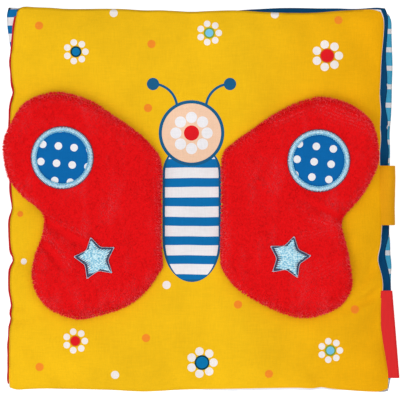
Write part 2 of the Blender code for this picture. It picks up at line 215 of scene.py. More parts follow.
# Cotton: plain-woven and screen-printed, then sewn over wadding. The eye sees a
# matt cloth with faint crossing slubs and uneven ink. Its slubs are drawn 0.5 mm
# across, coarser than the 0.25 mm threads, because single threads are finer than
# a pixel.
SLUB = 0.5 * MM
SLUB_LENGTH_SHARE = 0.12
SLUB_RELIEF = 0.12 * MM
FADE_PATCH = 22 * MM
# The span of the cloth's unevenness, and the brightness that it gives
UNEVEN_SPAN, BRIGHTNESS_SPAN = (0.7, 1.3), (0.92, 1.08)


def cotton(name, paint):
    material, tree, shader, place = start_material(name)
    warp = unevenness(tree, place, SLUB, (1.0, SLUB_LENGTH_SHARE, 1.0))
    weft = unevenness(tree, place, SLUB, (SLUB_LENGTH_SHARE, 1.0, 1.0))
    threads = add(tree, "Math", (warp, weft), operation="ADD")
    fade = unevenness(tree, place, FADE_PATCH)
    uneven = add(tree, "Math", (threads, 0.5, fade), operation="MULTIPLY_ADD")
    value = add(tree, "MapRange", (uneven, *UNEVEN_SPAN, *BRIGHTNESS_SPAN))
    colour = add(tree, "HueSaturation", {"Color": paint(tree, place), "Value": value})
    relief = add(tree, "Bump", {"Height": threads, "Distance": SLUB_RELIEF, "Strength": 0.55})
    feed(tree, shader, {"Base Color": colour, "Normal": relief, "Roughness": 0.9,
                        "Specular IOR Level": 0.1})
    return material


# Printed patterns. Each takes flat places and gives a mask or a colour.

def flatten(tree, place):
    return add(tree, "VectorMath", (place, (1.0, 1.0, 0.0)), operation="MULTIPLY")


def distance_to(tree, flat, px, py):
    spot = (*at(px, py), 0.0)
    return add(tree, "VectorMath", (flat, spot), operation="DISTANCE").outputs["Value"]


def disc(tree, flat, px, py, radius_px):
    reach = distance_to(tree, flat, px, py)
    return add(tree, "Math", (reach, radius_px * PIXEL), operation="LESS_THAN")


def merge(tree, operation, masks):
    """Several masks as one."""
    total = masks[0]
    for mask in masks[1:]:
        total = add(tree, "Math", (total, mask), operation=operation)
    return total


def either(tree, *masks):
    return merge(tree, "MAXIMUM", masks)


def both(tree, *masks):
    return merge(tree, "MULTIPLY", masks)


def petals(tree, flat, px, py, ring_px, petal_px, count):
    """A ring of round petals: the angle is folded into one petal's share."""
    spot = (*at(px, py), 0.0)
    away = add(tree, "VectorMath", (flat, spot), operation="SUBTRACT")
    apart = add(tree, "SeparateXYZ", (away,)).outputs
    reach = distance_to(tree, flat, px, py)
    angle = add(tree, "Math", (apart[1], apart[0]), operation="ARCTAN2")
    folded = add(tree, "Math", (angle, math.pi / count, -math.pi / count), operation="WRAP")
    turn = add(tree, "Math", (folded,), operation="COSINE")
    along = add(tree, "Math", (reach, turn), operation="MULTIPLY")
    ring = ring_px * PIXEL
    rest = add(tree, "Math", (along, -2 * ring, ring * ring), operation="MULTIPLY_ADD")
    squared = add(tree, "Math", (reach, reach, rest), operation="MULTIPLY_ADD")
    return add(tree, "Math", (squared, (petal_px * PIXEL) ** 2), operation="LESS_THAN")


def dot_rows(tree, place, middle, pitches, turn, radius):
    """Rows of round dots, one of them at the middle, tilted by an angle."""
    cells = add(tree, "Mapping", {
        "Vector": place, "Location": (*middle, 0.0), "Rotation": (0.0, 0.0, turn),
        "Scale": (*pitches, 1.0)}, vector_type="TEXTURE")
    moved = add(tree, "VectorMath", (cells, (0.5, 0.5, 0.0)), operation="ADD")
    cell = add(tree, "VectorMath", (moved,), operation="FRACTION")
    off = add(tree, "VectorMath", (cell, (0.5, 0.5, 0.0)), operation="SUBTRACT")
    real = add(tree, "VectorMath", (off, (*pitches, 0.0)), operation="MULTIPLY")
    reach = add(tree, "VectorMath", (real,), operation="LENGTH").outputs["Value"]
    return add(tree, "Math", (reach, radius), operation="LESS_THAN")


def stripes(tree, height, period, share, start):
    """1 on the stripes, which take the given share of each period."""
    along = add(tree, "Math", (height, 1 / period, -start / period), operation="MULTIPLY_ADD")
    part = add(tree, "Math", (along,), operation="FRACT")
    return add(tree, "Math", (part, share), operation="LESS_THAN")


# Sizes of a flower's ring, petals and centre in pixels, then each flower's middle,
# sizes, and the colours of its centre and of the centre's rim
SMALL_FLOWER = (9.5, 3.3, 4.7)
LARGE_FLOWER = (11.5, 4.2, 6.6)
FLOWERS = (
    ((75.9, 51.7), SMALL_FLOWER, FLOWER_BLUE, DARK_RIM),
    ((209.3, 32.9), SMALL_FLOWER, SKY, GREEN_RIM),
    ((327.3, 55.7), LARGE_FLOWER, PRINT_RED, RED_RIM),
    ((75.3, 341.0), SMALL_FLOWER, PRINT_RED, RED_RIM),
    ((202.0, 362.6), LARGE_FLOWER, FLOWER_BLUE, DARK_RIM),
    ((330.4, 350.5), SMALL_FLOWER, SKY, GREEN_RIM),
)
# How far a centre's rim reaches outward in pixels, and inward if it isn't a red one
RIM = 0.9
RIM_INWARD = 0.8
PETAL_COUNT = 7
DOT_RADIUS = 4.1
FOLDED_DOT_RADIUS = 3.0
ORANGE_DOTS = ((39, 25.5), (151.5, 44), (148, 108), (338.5, 20), (146, 338), (39.5, 367),
               (238, 304.5), (355, 309.5), (269, 374))
WHITE_DOTS = ((113.5, 12.7), (275, 14), (166.6, 285), (115, 375))
FOLDED_ORANGE_DOT = (20, 214)
FOLDED_WHITE_DOT = (23.5, 261.5)

# The printed body: a plain striped one under a round disc with a flower
BODY_X = 191.8
BODY_HALF_WIDTH = 29.4
BODY_NECK = 152.0
BODY_SHOULDER = 176.0
BODY_TAPER = 236.0
BODY_TIP = 282.0
BODY_EDGE = 2.6
# How far the neck closes, and how full the body's curve is
NECK_CLOSING = 0.75
BODY_FULLNESS = 2.3
STRIPE_PERIOD = 19.2
STRIPE_WHITE_SHARE = 0.54
STRIPE_START = 176.5
STRIPE_WAVE = 40 * MM
STRIPE_WANDER = 1.6 * MM
MEDALLION = (191.5, 133.0)
MEDALLION_RADIUS = 29.6
MEDALLION_EDGE = 3.2
MEDALLION_FLOWER = (15.6, 5.6, 7.6)
MEDALLION_PETALS = 8
FEELER_MIDDLES = (153.0, 230.0)
FEELER_BASE = 108.0
FEELER_RADIUS = 24.0
FEELER_STROKE = 2.6
FEELER_BALL = 6.2


def body_mask(tree, flat, inset):
    """The body's shape: rounded at the neck, tapering to the tip."""
    x, y, _ = add(tree, "SeparateXYZ", (flat,)).outputs
    middle_x, neck_y = at(BODY_X, BODY_NECK)
    shoulder_y, taper_y, tip_y = [at(0, py)[1] for py in (BODY_SHOULDER, BODY_TAPER, BODY_TIP)]
    off = add(tree, "Math", (x, middle_x), operation="SUBTRACT")
    aside = add(tree, "Math", (off,), operation="ABSOLUTE")
    down = add(tree, "MapRange", (y, taper_y, tip_y, 0.0, 1.0))
    up = add(tree, "MapRange", (y, shoulder_y, neck_y, 0.0, NECK_CLOSING))
    closing = add(tree, "Math", (down, up), operation="ADD")
    squared = add(tree, "Math", (closing, BODY_FULLNESS), operation="POWER")
    left_over = add(tree, "Math", (1.0, squared), operation="SUBTRACT")
    share = add(tree, "Math", (left_over, 0.5), operation="POWER")
    half = add(tree, "Math", (share, (BODY_HALF_WIDTH - inset) * PIXEL), operation="MULTIPLY")
    within = add(tree, "Math", (aside, half), operation="LESS_THAN")
    below = add(tree, "Math", (y, neck_y), operation="LESS_THAN")
    above = add(tree, "Math", (y, tip_y + inset * PIXEL), operation="GREATER_THAN")
    return both(tree, within, below, above)


def body_bands(tree, flat):
    """The body's blue and white bands, which wander as if drawn by hand."""
    height = add(tree, "SeparateXYZ", (flat,)).outputs[1]
    wave = unevenness(tree, flat, STRIPE_WAVE)
    drawn = add(tree, "Math", (wave, STRIPE_WANDER, height), operation="MULTIPLY_ADD")
    start = at(0, STRIPE_START)[1]
    bands = stripes(tree, drawn, STRIPE_PERIOD * PIXEL, STRIPE_WHITE_SHARE, start)
    return lay_ink(tree, PRINT_BLUE, bands, WHITE)


def feeler_mask(tree, flat, middle, side):
    """A quarter circle that ends in a ball."""
    x, y, _ = add(tree, "SeparateXYZ", (flat,)).outputs
    base_x, base_y = at(middle, FEELER_BASE)
    reach = distance_to(tree, flat, middle, FEELER_BASE)
    off = add(tree, "Math", (reach, FEELER_RADIUS * PIXEL), operation="SUBTRACT")
    from_line = add(tree, "Math", (off,), operation="ABSOLUTE")
    stroke = add(tree, "Math", (from_line, FEELER_STROKE / 2 * PIXEL), operation="LESS_THAN")
    above = add(tree, "Math", (y, base_y), operation="GREATER_THAN")
    beside = add(tree, "Math", (x, base_x), operation="GREATER_THAN" if side > 0 else "LESS_THAN")
    ball = disc(tree, flat, middle, FEELER_BASE - FEELER_RADIUS, FEELER_BALL)
    return either(tree, both(tree, stroke, above, beside), ball)


def paint_body(tree, flat, colour):
    """A tapering striped body, its feelers and the flower disc at its top."""
    colour = lay_ink(tree, colour, body_mask(tree, flat, 0.0), OUTLINE_BLUE)
    colour = lay_ink(tree, colour, body_mask(tree, flat, BODY_EDGE), body_bands(tree, flat))
    for side, middle in zip((1, -1), FEELER_MIDDLES):
        colour = lay_ink(tree, colour, feeler_mask(tree, flat, middle, side), OUTLINE_BLUE)
    ring, petal, centre = MEDALLION_FLOWER
    flower = petals(tree, flat, *MEDALLION, ring, petal, MEDALLION_PETALS)
    outer = disc(tree, flat, *MEDALLION, MEDALLION_RADIUS + MEDALLION_EDGE)
    colour = lay_ink(tree, colour, outer, OUTLINE_BLUE)
    colour = lay_ink(tree, colour, disc(tree, flat, *MEDALLION, MEDALLION_RADIUS), PEACH)
    colour = lay_ink(tree, colour, flower, WHITE)
    return lay_ink(tree, colour, disc(tree, flat, *MEDALLION, centre), PRINT_RED)


# The pixel from which painted shade deepens the yellow toward the fore-edge, for the light that
# falls from the left
PAINTED_SHADE_START = 240


def paint_cover(tree, place):
    """Yellow ground, deepened toward the fore-edge by painted shade, with small flowers, dots and
    the striped body.
    """
    flat = flatten(tree, place)
    x = add(tree, "SeparateXYZ", (flat,)).outputs[0]
    # Painted shade: the yellow turns deeper toward the fore-edge, away from the light
    across = add(tree, "MapRange", (x, at(PAINTED_SHADE_START, 0)[0], COVER_HIGH.x, 0.0, 1.0))
    colour = lay_ink(tree, YELLOW_LEFT, across, YELLOW_PAINTED_SHADE)
    white = [petals(tree, flat, *middle, sizes[0], sizes[1], PETAL_COUNT)
             for middle, sizes, _, _ in FLOWERS]
    white += [disc(tree, flat, px, py, DOT_RADIUS) for px, py in WHITE_DOTS]
    white.append(disc(tree, flat, *FOLDED_WHITE_DOT, FOLDED_DOT_RADIUS))
    orange = [disc(tree, flat, px, py, DOT_RADIUS) for px, py in ORANGE_DOTS]
    orange.append(disc(tree, flat, *FOLDED_ORANGE_DOT, FOLDED_DOT_RADIUS))
    colour = lay_ink(tree, colour, either(tree, *white), WARM_WHITE)
    colour = lay_ink(tree, colour, either(tree, *orange), PRINT_ORANGE)
    for middle, sizes, centre, rim in FLOWERS:
        inward = 0.0 if rim is RED_RIM else RIM_INWARD
        colour = lay_ink(tree, colour, disc(tree, flat, *middle, sizes[2] + RIM), rim)
        colour = lay_ink(tree, colour, disc(tree, flat, *middle, sizes[2] - inward), centre)
    return paint_body(tree, flat, colour)


def paint_plain(colour):
    return lambda tree, place: colour


def paint_dots(ground, colours, spacing, radius, first=(0.0, 0.0)):
    """A ground with two sets of dots, the second half a step on from the first."""
    def paint(tree, place):
        flat = flatten(tree, place)
        colour = ground
        for shift, dot in zip((0.0, 0.5 * spacing), colours):
            middle = (first[0] + shift, first[1] + shift)
            mask = dot_rows(tree, flat, middle, (spacing, spacing), 0.0, radius)
            colour = lay_ink(tree, colour, mask, dot)
        return colour
    return paint


# The back cover's stripes: a blue and a white band, and where a white one starts
BACK_STRIPES = 7.4 * MM
BACK_STRIPE_START = 78.8 * MM


def paint_stripes(tree, place):
    """Blue and white bands across the book."""
    height = add(tree, "SeparateXYZ", (place,)).outputs[1]
    bands = stripes(tree, height, BACK_STRIPES, 0.5, BACK_STRIPE_START)
    return lay_ink(tree, PRINT_BLUE, bands, WHITE)


DASH_PITCH = 7.6 * MM
DASH_ROW = 8.3 * MM
DASH_LENGTH_SHARE = 0.6
DASH_WIDTH_SHARE = 0.27


def paint_dashes(tree, place):
    """Teal with rows of short white dashes."""
    x, y, _ = add(tree, "SeparateXYZ", (place,)).outputs
    along = stripes(tree, x, DASH_PITCH, DASH_LENGTH_SHARE, 0.0)
    across = stripes(tree, y, DASH_ROW, DASH_WIDTH_SHARE, 0.0)
    return lay_ink(tree, TEAL, both(tree, along, across), WHITE)


# The radius of a patch's dots, in pixels
PATCH_DOT_RADIUS = 3.75


def paint_patch(middle_px, pitches_px, turn):
    """Blue with white dots in tilted rows, one of them at the given pixel."""
    def paint(tree, place):
        pitches = [pitch * PIXEL for pitch in pitches_px]
        mask = dot_rows(tree, flatten(tree, place), at(*middle_px), pitches, turn,
                        PATCH_DOT_RADIUS * PIXEL)
        return lay_ink(tree, PATCH_BLUE, mask, WHITE)
    return paint


# The pile's attribute: above 0 where it is brushed up or a painted highlight lies on the rim and
# fold ridges, below 0 where painted shade darkens a fold's valley
BRUSHED_AND_PAINTED_LIGHT = "brushed_and_painted_light"


# Polyester plush, knitted: the ground seen between the tufts. It is deep red and
# wholly matt, with soft lumps as wide as a few tufts.
def plush_base(name):
    material, tree, shader, place = start_material(name)
    colour = lay_ink(tree, PLUSH_GROUND, unevenness(tree, place, size=5 * MM), PLUSH_RED)
    lumps = unevenness(tree, place, size=0.8 * MM)
    relief = add(tree, "Bump", {"Height": lumps, "Distance": 0.4 * MM, "Strength": 0.8})
    feed(tree, shader, {"Base Color": colour, "Normal": relief, "Roughness": 0.95,
                        "Specular IOR Level": 0.1})
    return material


# Polyester plush, sheared: the pile's own fibres. They are bright red. Their cut
# tips look paler where the pile is brushed up and under painted highlights on the rim
# and fold ridges, and painted shade deepens them in a fold's valley.
def plush_pile(name):
    material, tree, shader, place = start_material(name)
    tips = add(tree, "Attribute", attribute_name=BRUSHED_AND_PAINTED_LIGHT).outputs["Fac"]
    streaks = unevenness(tree, place, size=7 * MM, stretch=(1.0, 0.45, 0.3), detail=3.0)
    share = add(tree, "MapRange", (streaks, 0.5, 0.8, 0.0, 0.35))
    pale = add(tree, "Math", (share, tips), operation="MAXIMUM")
    # Painted shade: below 0 the tips turn to the deeper red in a fold's valley
    fold_shade = add(tree, "MapRange", (tips, 0.0, -1.0, 0.0, 1.0))
    ground = lay_ink(tree, PLUSH_RED, fold_shade, PLUSH_PAINTED_FOLD_SHADE)
    feed(tree, shader, {"Base Color": lay_ink(tree, ground, pale, PLUSH_LIGHT),
                        "Roughness": 0.75, "Specular IOR Level": 0.15,
                        "Sheen Weight": 0.5, "Sheen Roughness": 0.5, "Sheen Tint": PLUSH_SHEEN})
    return material


# Rayon embroidery thread, spun and dyed: smooth, with a soft shine along each
# stitch and a darker tone where a thread turns away.
def thread(name, colour, shade, size=0.5 * MM):
    material, tree, shader, place = start_material(name)
    share = add(tree, "MapRange", (unevenness(tree, place, size), 0.4, 0.6, 0.0, 1.0))
    feed(tree, shader, {"Base Color": lay_ink(tree, shade, share, colour), "Roughness": 0.42,
                        "Sheen Weight": 0.2})
    return material


# Polyester satin ribbon, woven: smooth and red with a low shine. Its ribs are
# drawn 0.5 mm apart, because the real ones are finer than a pixel.
def ribbon_satin(name):
    material, tree, shader, place = start_material(name)
    ribs = unevenness(tree, place, size=0.5 * MM, stretch=(1.0, 0.08, 1.0))
    relief = add(tree, "Bump", {"Height": ribs, "Distance": 0.08 * MM, "Strength": 0.5})
    feed(tree, shader, {"Base Color": lay_ink(tree, LABEL_RED, ribs, LABEL_RED_SHADE),
                        "Normal": relief, "Roughness": 0.55, "Specular IOR Level": 0.2})
    return material


# Nylon hook and loop tape, woven and cut: white, rough and matt, with hooks or
# loops in clumps 0.7 mm across.
def tape(name):
    material, tree, shader, place = start_material(name)
    hooks = unevenness(tree, place, size=0.7 * MM)
    relief = add(tree, "Bump", {"Height": hooks, "Distance": 0.4 * MM, "Strength": 0.9})
    feed(tree, shader, {"Base Color": lay_ink(tree, TAPE_SHADE, hooks, TAPE_WHITE),
                        "Normal": relief, "Roughness": 0.8})
    return material


# Modelling tools

SHARP_EDGE = math.radians(50)
WELD = 0.01 * MM


def free_all():
    bpy.ops.object.select_all(action="DESELECT")


def pick(obj):
    """Selects one piece alone and makes it the active one."""
    free_all()
    obj.select_set(True)
    bpy.context.view_layer.objects.active = obj


def edit_all(obj, operator, **settings):
    """Runs an edit-mode operator on the whole of a piece's mesh."""
    pick(obj)
    bpy.ops.object.mode_set(mode="EDIT")
    bpy.ops.mesh.select_all(action="SELECT")
    operator(**settings)
    bpy.ops.object.mode_set(mode="OBJECT")


def shade_by_angle(obj):
    """Smooth shading that keeps the sharp edges."""
    pick(obj)
    bpy.ops.object.shade_smooth_by_angle(angle=SHARP_EDGE)


def new_object(name, data):
    made = bpy.data.objects.new(name, data)
    bpy.context.scene.collection.objects.link(made)
    return made


def apply_modifiers(obj):
    pick(obj)
    for modifier in list(obj.modifiers):
        bpy.ops.object.modifier_apply(modifier=modifier.name)


def get_places(obj):
    places = np.zeros(len(obj.data.vertices) * 3)
    obj.data.vertices.foreach_get("co", places)
    return places.reshape(-1, 3)


def set_places(obj, places):
    obj.data.vertices.foreach_set("co", np.asarray(places, float).ravel())
    obj.data.update()


def settle(obj):
    """Puts a finished piece's place into its mesh."""
    pick(obj)
    bpy.ops.object.transform_apply(location=True, rotation=True, scale=True)


def through(known, values):
    """A smooth line through given values, as a function of what they hang on."""
    known, values = np.array(known, float), np.array(values, float)
    slopes = np.gradient(values, known)

    def line(t):
        t = np.clip(t, known[0], known[-1])
        i = np.clip(np.searchsorted(known, t) - 1, 0, len(known) - 2)
        width = known[i + 1] - known[i]
        s = (t - known[i]) / width
        rise = values[i + 1] - values[i]
        a = slopes[i] * width - rise
        b = rise - slopes[i + 1] * width
        return (1 - s) * values[i] + s * values[i + 1] + s * (1 - s) * ((1 - s) * a + s * b)
    return line


# Padded covers and leaves

GRID = 56
SIM_SCALE = 4.0
SIM_FRAMES = 30
# The dome that the cloth starts from: its height and waves, and how unevenly it lies
SIM_RISE = 1.0 * MM
SIM_WAVES, SIM_WAVE_SHARE = 3.0, 0.5
SIM_JITTER = 0.02 * MM
CLOTH_FEEL = {
    "quality": 6, "mass": 0.3, "tension_stiffness": 20, "compression_stiffness": 20,
    "shear_stiffness": 8, "bending_stiffness": 30.0, "vertex_group_mass": "seam",
    "shrink_min": -0.03, "use_pressure": True, "uniform_pressure_force": 10.0}
CROWN_REACH = 15.0 * MM
SMOOTHING_PASSES = 5
PUCKER_GAIN = 0.9
PUCKER_LIMIT = 1.2 * MM
CROWN_POWER = 0.75
# The least that a panel rises and the most that a fold presses it, as shares of its rise
LEAST_RISE = 0.12
DEEPEST_FOLD = 0.85
# How much shallower a fold is where it fades
FOLD_FADE = 0.75
# How far the row next to a spilling rim goes with it, in cells
SPILL_FOLLOW = 0.9


def evenly(points, count):
    """Evenly spread places, in pixels, on a smooth line through given ones."""
    picked = np.array(points, float)
    steps = np.concatenate([[0], np.cumsum(np.linalg.norm(np.diff(picked, axis=0), axis=1))])
    along = np.linspace(0, steps[-1], count)
    return np.stack([through(steps, picked[:, i])(along) for i in (0, 1)], 1)


def lay_sheet(sides, cells):
    """A flat grid stretched between four sides: left and right run down, top and
    bottom run to the right, and neighbours share their corner points."""
    free_all()
    bpy.ops.mesh.primitive_grid_add(x_subdivisions=cells, y_subdivisions=cells, size=1.0)
    sheet = bpy.context.object
    places = get_places(sheet)
    u, v = places[:, 0] + 0.5, 0.5 - places[:, 1]
    column = np.rint(u * cells).astype(int)
    row = np.rint(v * cells).astype(int)
    left, right, top, bottom = [evenly(side, cells + 1) for side in sides]
    u2, v2 = u[:, None], v[:, None]
    spot = (1 - u2) * left[row] + u2 * right[row] + (1 - v2) * top[column] + v2 * bottom[column]
    spot -= (1 - u2) * (1 - v2) * left[0] + u2 * (1 - v2) * right[0]
    spot -= (1 - u2) * v2 * left[-1] + u2 * v2 * right[-1]
    x, y = at(spot[:, 0], spot[:, 1])
    set_places(sheet, np.stack([x, y, np.zeros(len(x))], 1))
    return sheet, column, row


def swell(sheet, on_seam, seed):
    """Pins the seam and blows the cloth up, so that it puckers along the seam."""
    raised = get_places(sheet) * SIM_SCALE
    dome = np.cos(raised[:, 0] * SIM_WAVES + seed) * np.cos(raised[:, 1] * SIM_WAVES)
    random = np.random.default_rng(seed)
    raised[:, 2] = SIM_RISE * SIM_SCALE * (1.0 + SIM_WAVE_SHARE * dome)
    raised[:, 2] += random.normal(0, SIM_JITTER * SIM_SCALE, len(raised))
    raised[on_seam, 2] = 0
    set_places(sheet, raised)
    group = sheet.vertex_groups.new(name="seam")
    group.add([int(i) for i in np.where(on_seam)[0]], 1.0, "REPLACE")
    cloth = sheet.modifiers.new("cloth", "CLOTH")
    cloth.point_cache.frame_end = SIM_FRAMES
    cloth.collision_settings.use_collision = False
    for setting, value in CLOTH_FEEL.items():
        setattr(cloth.settings, setting, value)
    cloth.settings.effector_weights.gravity = 0
    for step in range(1, SIM_FRAMES + 1):
        bpy.context.scene.frame_set(step)
    apply_modifiers(sheet)
    bpy.context.scene.frame_set(1)
    return get_places(sheet)[:, 2] / SIM_SCALE


def fine_puckers(height, column, row, cells):
    """What is left of a swollen sheet's height once its broad dome is taken off."""
    field = np.zeros((cells + 1, cells + 1))
    field[row, column] = height
    broad = field.copy()
    for _ in range(SMOOTHING_PASSES):
        padded = np.pad(broad, 1, mode="edge")
        broad = sum(padded[i:i + cells + 1, j:j + cells + 1]
                    for i in range(3) for j in range(3)) / 9
    relief = np.clip(PUCKER_GAIN * (field - broad), -PUCKER_LIMIT, PUCKER_LIMIT)
    return relief[row, column]


def crown(share):
    return np.sin(np.pi / 2 * np.clip(share, 0, 1)) ** CROWN_POWER


def off_line(points, a, b):
    """How far each point is from a straight line, and where along it from 0 to 1."""
    run = b - a
    t = np.clip((points - a) @ run / (run @ run), 0, 1)
    return np.linalg.norm(points - (a + t[:, None] * run), axis=1), t


def pressed(flat, folds):
    """How deep the named folds press into the cloth at each place."""
    depth = np.zeros(len(flat))
    for start, end, deep, width_px in folds:
        gap, t = off_line(flat[:, :2], np.array(at(*start)), np.array(at(*end)))
        depth += deep * np.exp(-(gap / (width_px * PIXEL)) ** 2) * (1 - FOLD_FADE * t)
    return depth


def toward(angle):
    return np.array([math.cos(angle), math.sin(angle)])


def soft_noise(points, size, seed):
    return np.array([noise.noise(Vector((p[0] / size, p[1] / size, seed))) for p in points])


def crease_rim(sheet, on_rim):
    """Keeps a sheet's rim where it was drawn when the cloth is made finer."""
    ends = np.array([edge.vertices[:] for edge in sheet.data.edges])
    crease = sheet.data.attributes.new("crease_edge", "FLOAT", "EDGE")
    crease.data.foreach_set("value", on_rim[ends].all(axis=1).astype(np.float32))


def join(objects, name):
    free_all()
    for part in objects:
        part.select_set(True)
    bpy.context.view_layer.objects.active = objects[0]
    bpy.ops.object.join()
    made = bpy.context.object
    made.name = name
    return made


def close_pad(halves, name):
    """Joins a pad's two faces along their rim and makes the cloth finer."""
    made = join(halves, name)
    edit_all(made, bpy.ops.mesh.remove_doubles, threshold=WELD)
    step = made.modifiers.new("finer", "SUBSURF")
    step.levels = 1
    step.render_levels = 1
    apply_modifiers(made)
    bpy.ops.object.shade_smooth()
    return made


def pillow(name, sides, levels, faces, seed, folds=(), spill=None, pocket=False):
    """A padded cloth pocket: two puckered panels that meet in a seam.

    levels are the lowest place, the seam and the highest one. spill says how far the
    under panel bulges past the seam at the fore-edge and the foot. pocket presses the
    under panel in where the strap's end lies.
    """
    low, seam, high = levels
    halves = []
    for sign, level, cloth in ((1, high, faces[0]), (-1, low, faces[1])):
        sheet, column, row = lay_sheet(sides, GRID)
        flat = get_places(sheet)
        on_seam = (column % GRID == 0) | (row % GRID == 0)
        wide = np.ptp(flat[:, 0]) / GRID
        long = np.ptp(flat[:, 1]) / GRID
        across = crown(np.minimum(column, GRID - column) * wide / CROWN_REACH)
        down = crown(np.minimum(row, GRID - row) * long / CROWN_REACH)
        tall = abs(level - seam)
        share = across * down
        relief = 0.0
        puffed = swell(sheet, on_seam, seed + sign)
        relief = fine_puckers(puffed, column, row, GRID)
        rise = tall * share + relief
        rise = np.where(on_seam, 0, np.clip(rise, LEAST_RISE * tall * share, tall))
        flat[:, 2] = seam + sign * rise
        if sign < 0:
            if spill:
                fore, foot = spill(flat)
                for axis, way, line, cell, bulge in ((0, 1, column, wide, fore),
                                                     (1, -1, row, long, foot)):
                    flat[:, axis] += way * np.where(line == GRID - 1, cell + bulge, 0)
                    flat[:, axis] += way * np.where(line == GRID - 2, cell * SPILL_FOLLOW, 0)
            edit_all(sheet, bpy.ops.mesh.flip_normals)
        set_places(sheet, flat)
        crease_rim(sheet, on_seam)
        sheet.data.materials.append(cloth)
        halves.append(sheet)
    made = close_pad(halves, name)
    if folds:
        places = get_places(made)
        above = np.maximum(places[:, 2] - seam, 0)
        places[:, 2] -= np.minimum(pressed(places, folds), DEEPEST_FOLD * above)
        set_places(made, places)
    if pocket:
        set_places(made, press_pocket(get_places(made), seam))
    settle(made)
    return made


# The front cover's sides, read from the photograph in pixels
COVER_SIDES = [seen_at(line, FRONT_SEAM) for line in (
    ((17.6, 9), (16.7, 13), (15, 23), (13.7, 33), (13, 40), (13.2, 46), (11.6, 52), (11, 58),
     (11, 67), (11.7, 75), (13.3, 87), (15.3, 94), (12.5, 98.5), (11, 107), (10.3, 117),
     (10, 127), (11, 160), (11.6, 190), (12.6, 203), (13, 209), (10.6, 216), (10, 230),
     (10.4, 242), (12, 253), (15, 260), (11, 267), (10, 276), (10, 290), (12, 301), (13, 306.5),
     (10.8, 313), (12.4, 319), (10, 326), (9.2, 342), (9, 358), (9, 372), (9, 382),
     (10, 387.6)),
    ((381, 12.4), (383.4, 17), (384, 25), (383.4, 36), (382.3, 48), (381.1, 62), (380.6, 76),
     (379.7, 98), (380.9, 112), (380, 126), (380.9, 139), (379.4, 155), (380, 166), (381, 195),
     (382, 222), (381.2, 236), (380.3, 247), (378.1, 254), (377.3, 260), (380.3, 269.4),
     (382.6, 280.6), (383, 288), (381.4, 298), (381, 308), (381.2, 326), (382.8, 341),
     (385, 353), (387.2, 366), (388.6, 379), (387.6, 388.5)),
    ((17.6, 9), (19.5, 7), (23, 6.2), (32, 7), (51, 7.7), (64, 8.8), (80, 9), (108, 8.7),
     (128, 9.2), (144, 10.4), (160, 10.2), (176, 11), (192, 11.8), (208, 11), (240, 10.4),
     (264, 12), (288, 12.8), (320, 12.4), (336, 11), (350, 10.2), (368, 9.4), (376, 9.8),
     (381, 12.4)),
    ((10, 387.6), (12.4, 389.6), (20, 389.6), (32, 389), (48, 388.6), (64, 389), (80, 389.2),
     (96, 389.6), (112, 390), (128, 391), (144, 391.6), (160, 391), (176, 390), (192, 389.4),
     (224, 389), (256, 388.4), (280, 388), (304, 388), (314, 388.6), (321, 386.6), (328, 388.4),
     (336, 389.2), (352, 390.6), (368, 391.6), (378, 391.8), (384, 391), (387.6, 388.5)),
)]
# Its folds: from the seam, to where each fades, depth, half width in pixels
COVER_FOLDS = (
    ((16, 94.5), (34, 98), 1.3 * MM, 4), ((14, 46), (30, 49), 0.8 * MM, 4),
    ((15, 260), (36, 257), 1.5 * MM, 4), ((13, 306.5), (28, 309), 1.0 * MM, 3),
    ((12.4, 319), (30, 322), 1.0 * MM, 3), ((13, 209), (28, 209), 0.9 * MM, 3),
    ((382, 292), (346, 310), 3.4 * MM, 4.5), ((377.5, 260), (360, 288), 2.8 * MM, 4.5),
    ((321, 386), (303, 364), 1.2 * MM, 4), ((349, 11), (342, 34), 0.8 * MM, 4),
    ((380, 140), (364, 143), 0.7 * MM, 4), ((192, 11), (190, 24), 0.6 * MM, 4),
    ((232, 388), (236, 374), 0.7 * MM, 4), ((96, 388), (100, 374), 0.6 * MM, 4),
    ((288, 12), (283, 28), 0.7 * MM, 4), ((143, 10), (146, 24), 0.6 * MM, 4),
    ((380, 330), (366, 327), 0.8 * MM, 4), ((60, 388), (56, 376), 0.6 * MM, 4),
)


# How far a hidden side wanders outward and inward, in pixels, how fast that starts
# from a corner, and in how many steps
DRIFT_OUT, DRIFT_IN = -0.5, 1.6
DRIFT_START = 4
DRIFT_STEPS = 10


def uneven_line(start, end, inward, seed):
    """Points from corner to corner that wander a little to the inner side."""
    random = np.random.default_rng(seed)
    points = [start]
    for i in range(1, DRIFT_STEPS):
        share = i / DRIFT_STEPS
        drift = random.uniform(DRIFT_OUT, DRIFT_IN)
        drift *= min(1, DRIFT_START * share, DRIFT_START * (1 - share))
        points.append((start[0] + (end[0] - start[0]) * share + inward[0] * drift,
                       start[1] + (end[1] - start[1]) * share + inward[1] * drift))
    points.append(end)
    return points


def leaf_sides(corners, level, seed, **known):
    """A leaf's four sides: those read from the photograph, and uneven ones where it is hidden."""
    left_top, right_top, right_foot, left_foot = corners
    sides = (("left", left_top, left_foot, (1, 0)), ("right", right_top, right_foot, (-1, 0)),
             ("top", left_top, right_top, (0, 1)), ("foot", left_foot, right_foot, (0, -1)))
    return [seen_at(known.get(name) or uneven_line(start, end, inward, seed + i), level)
            for i, (name, start, end, inward) in enumerate(sides)]


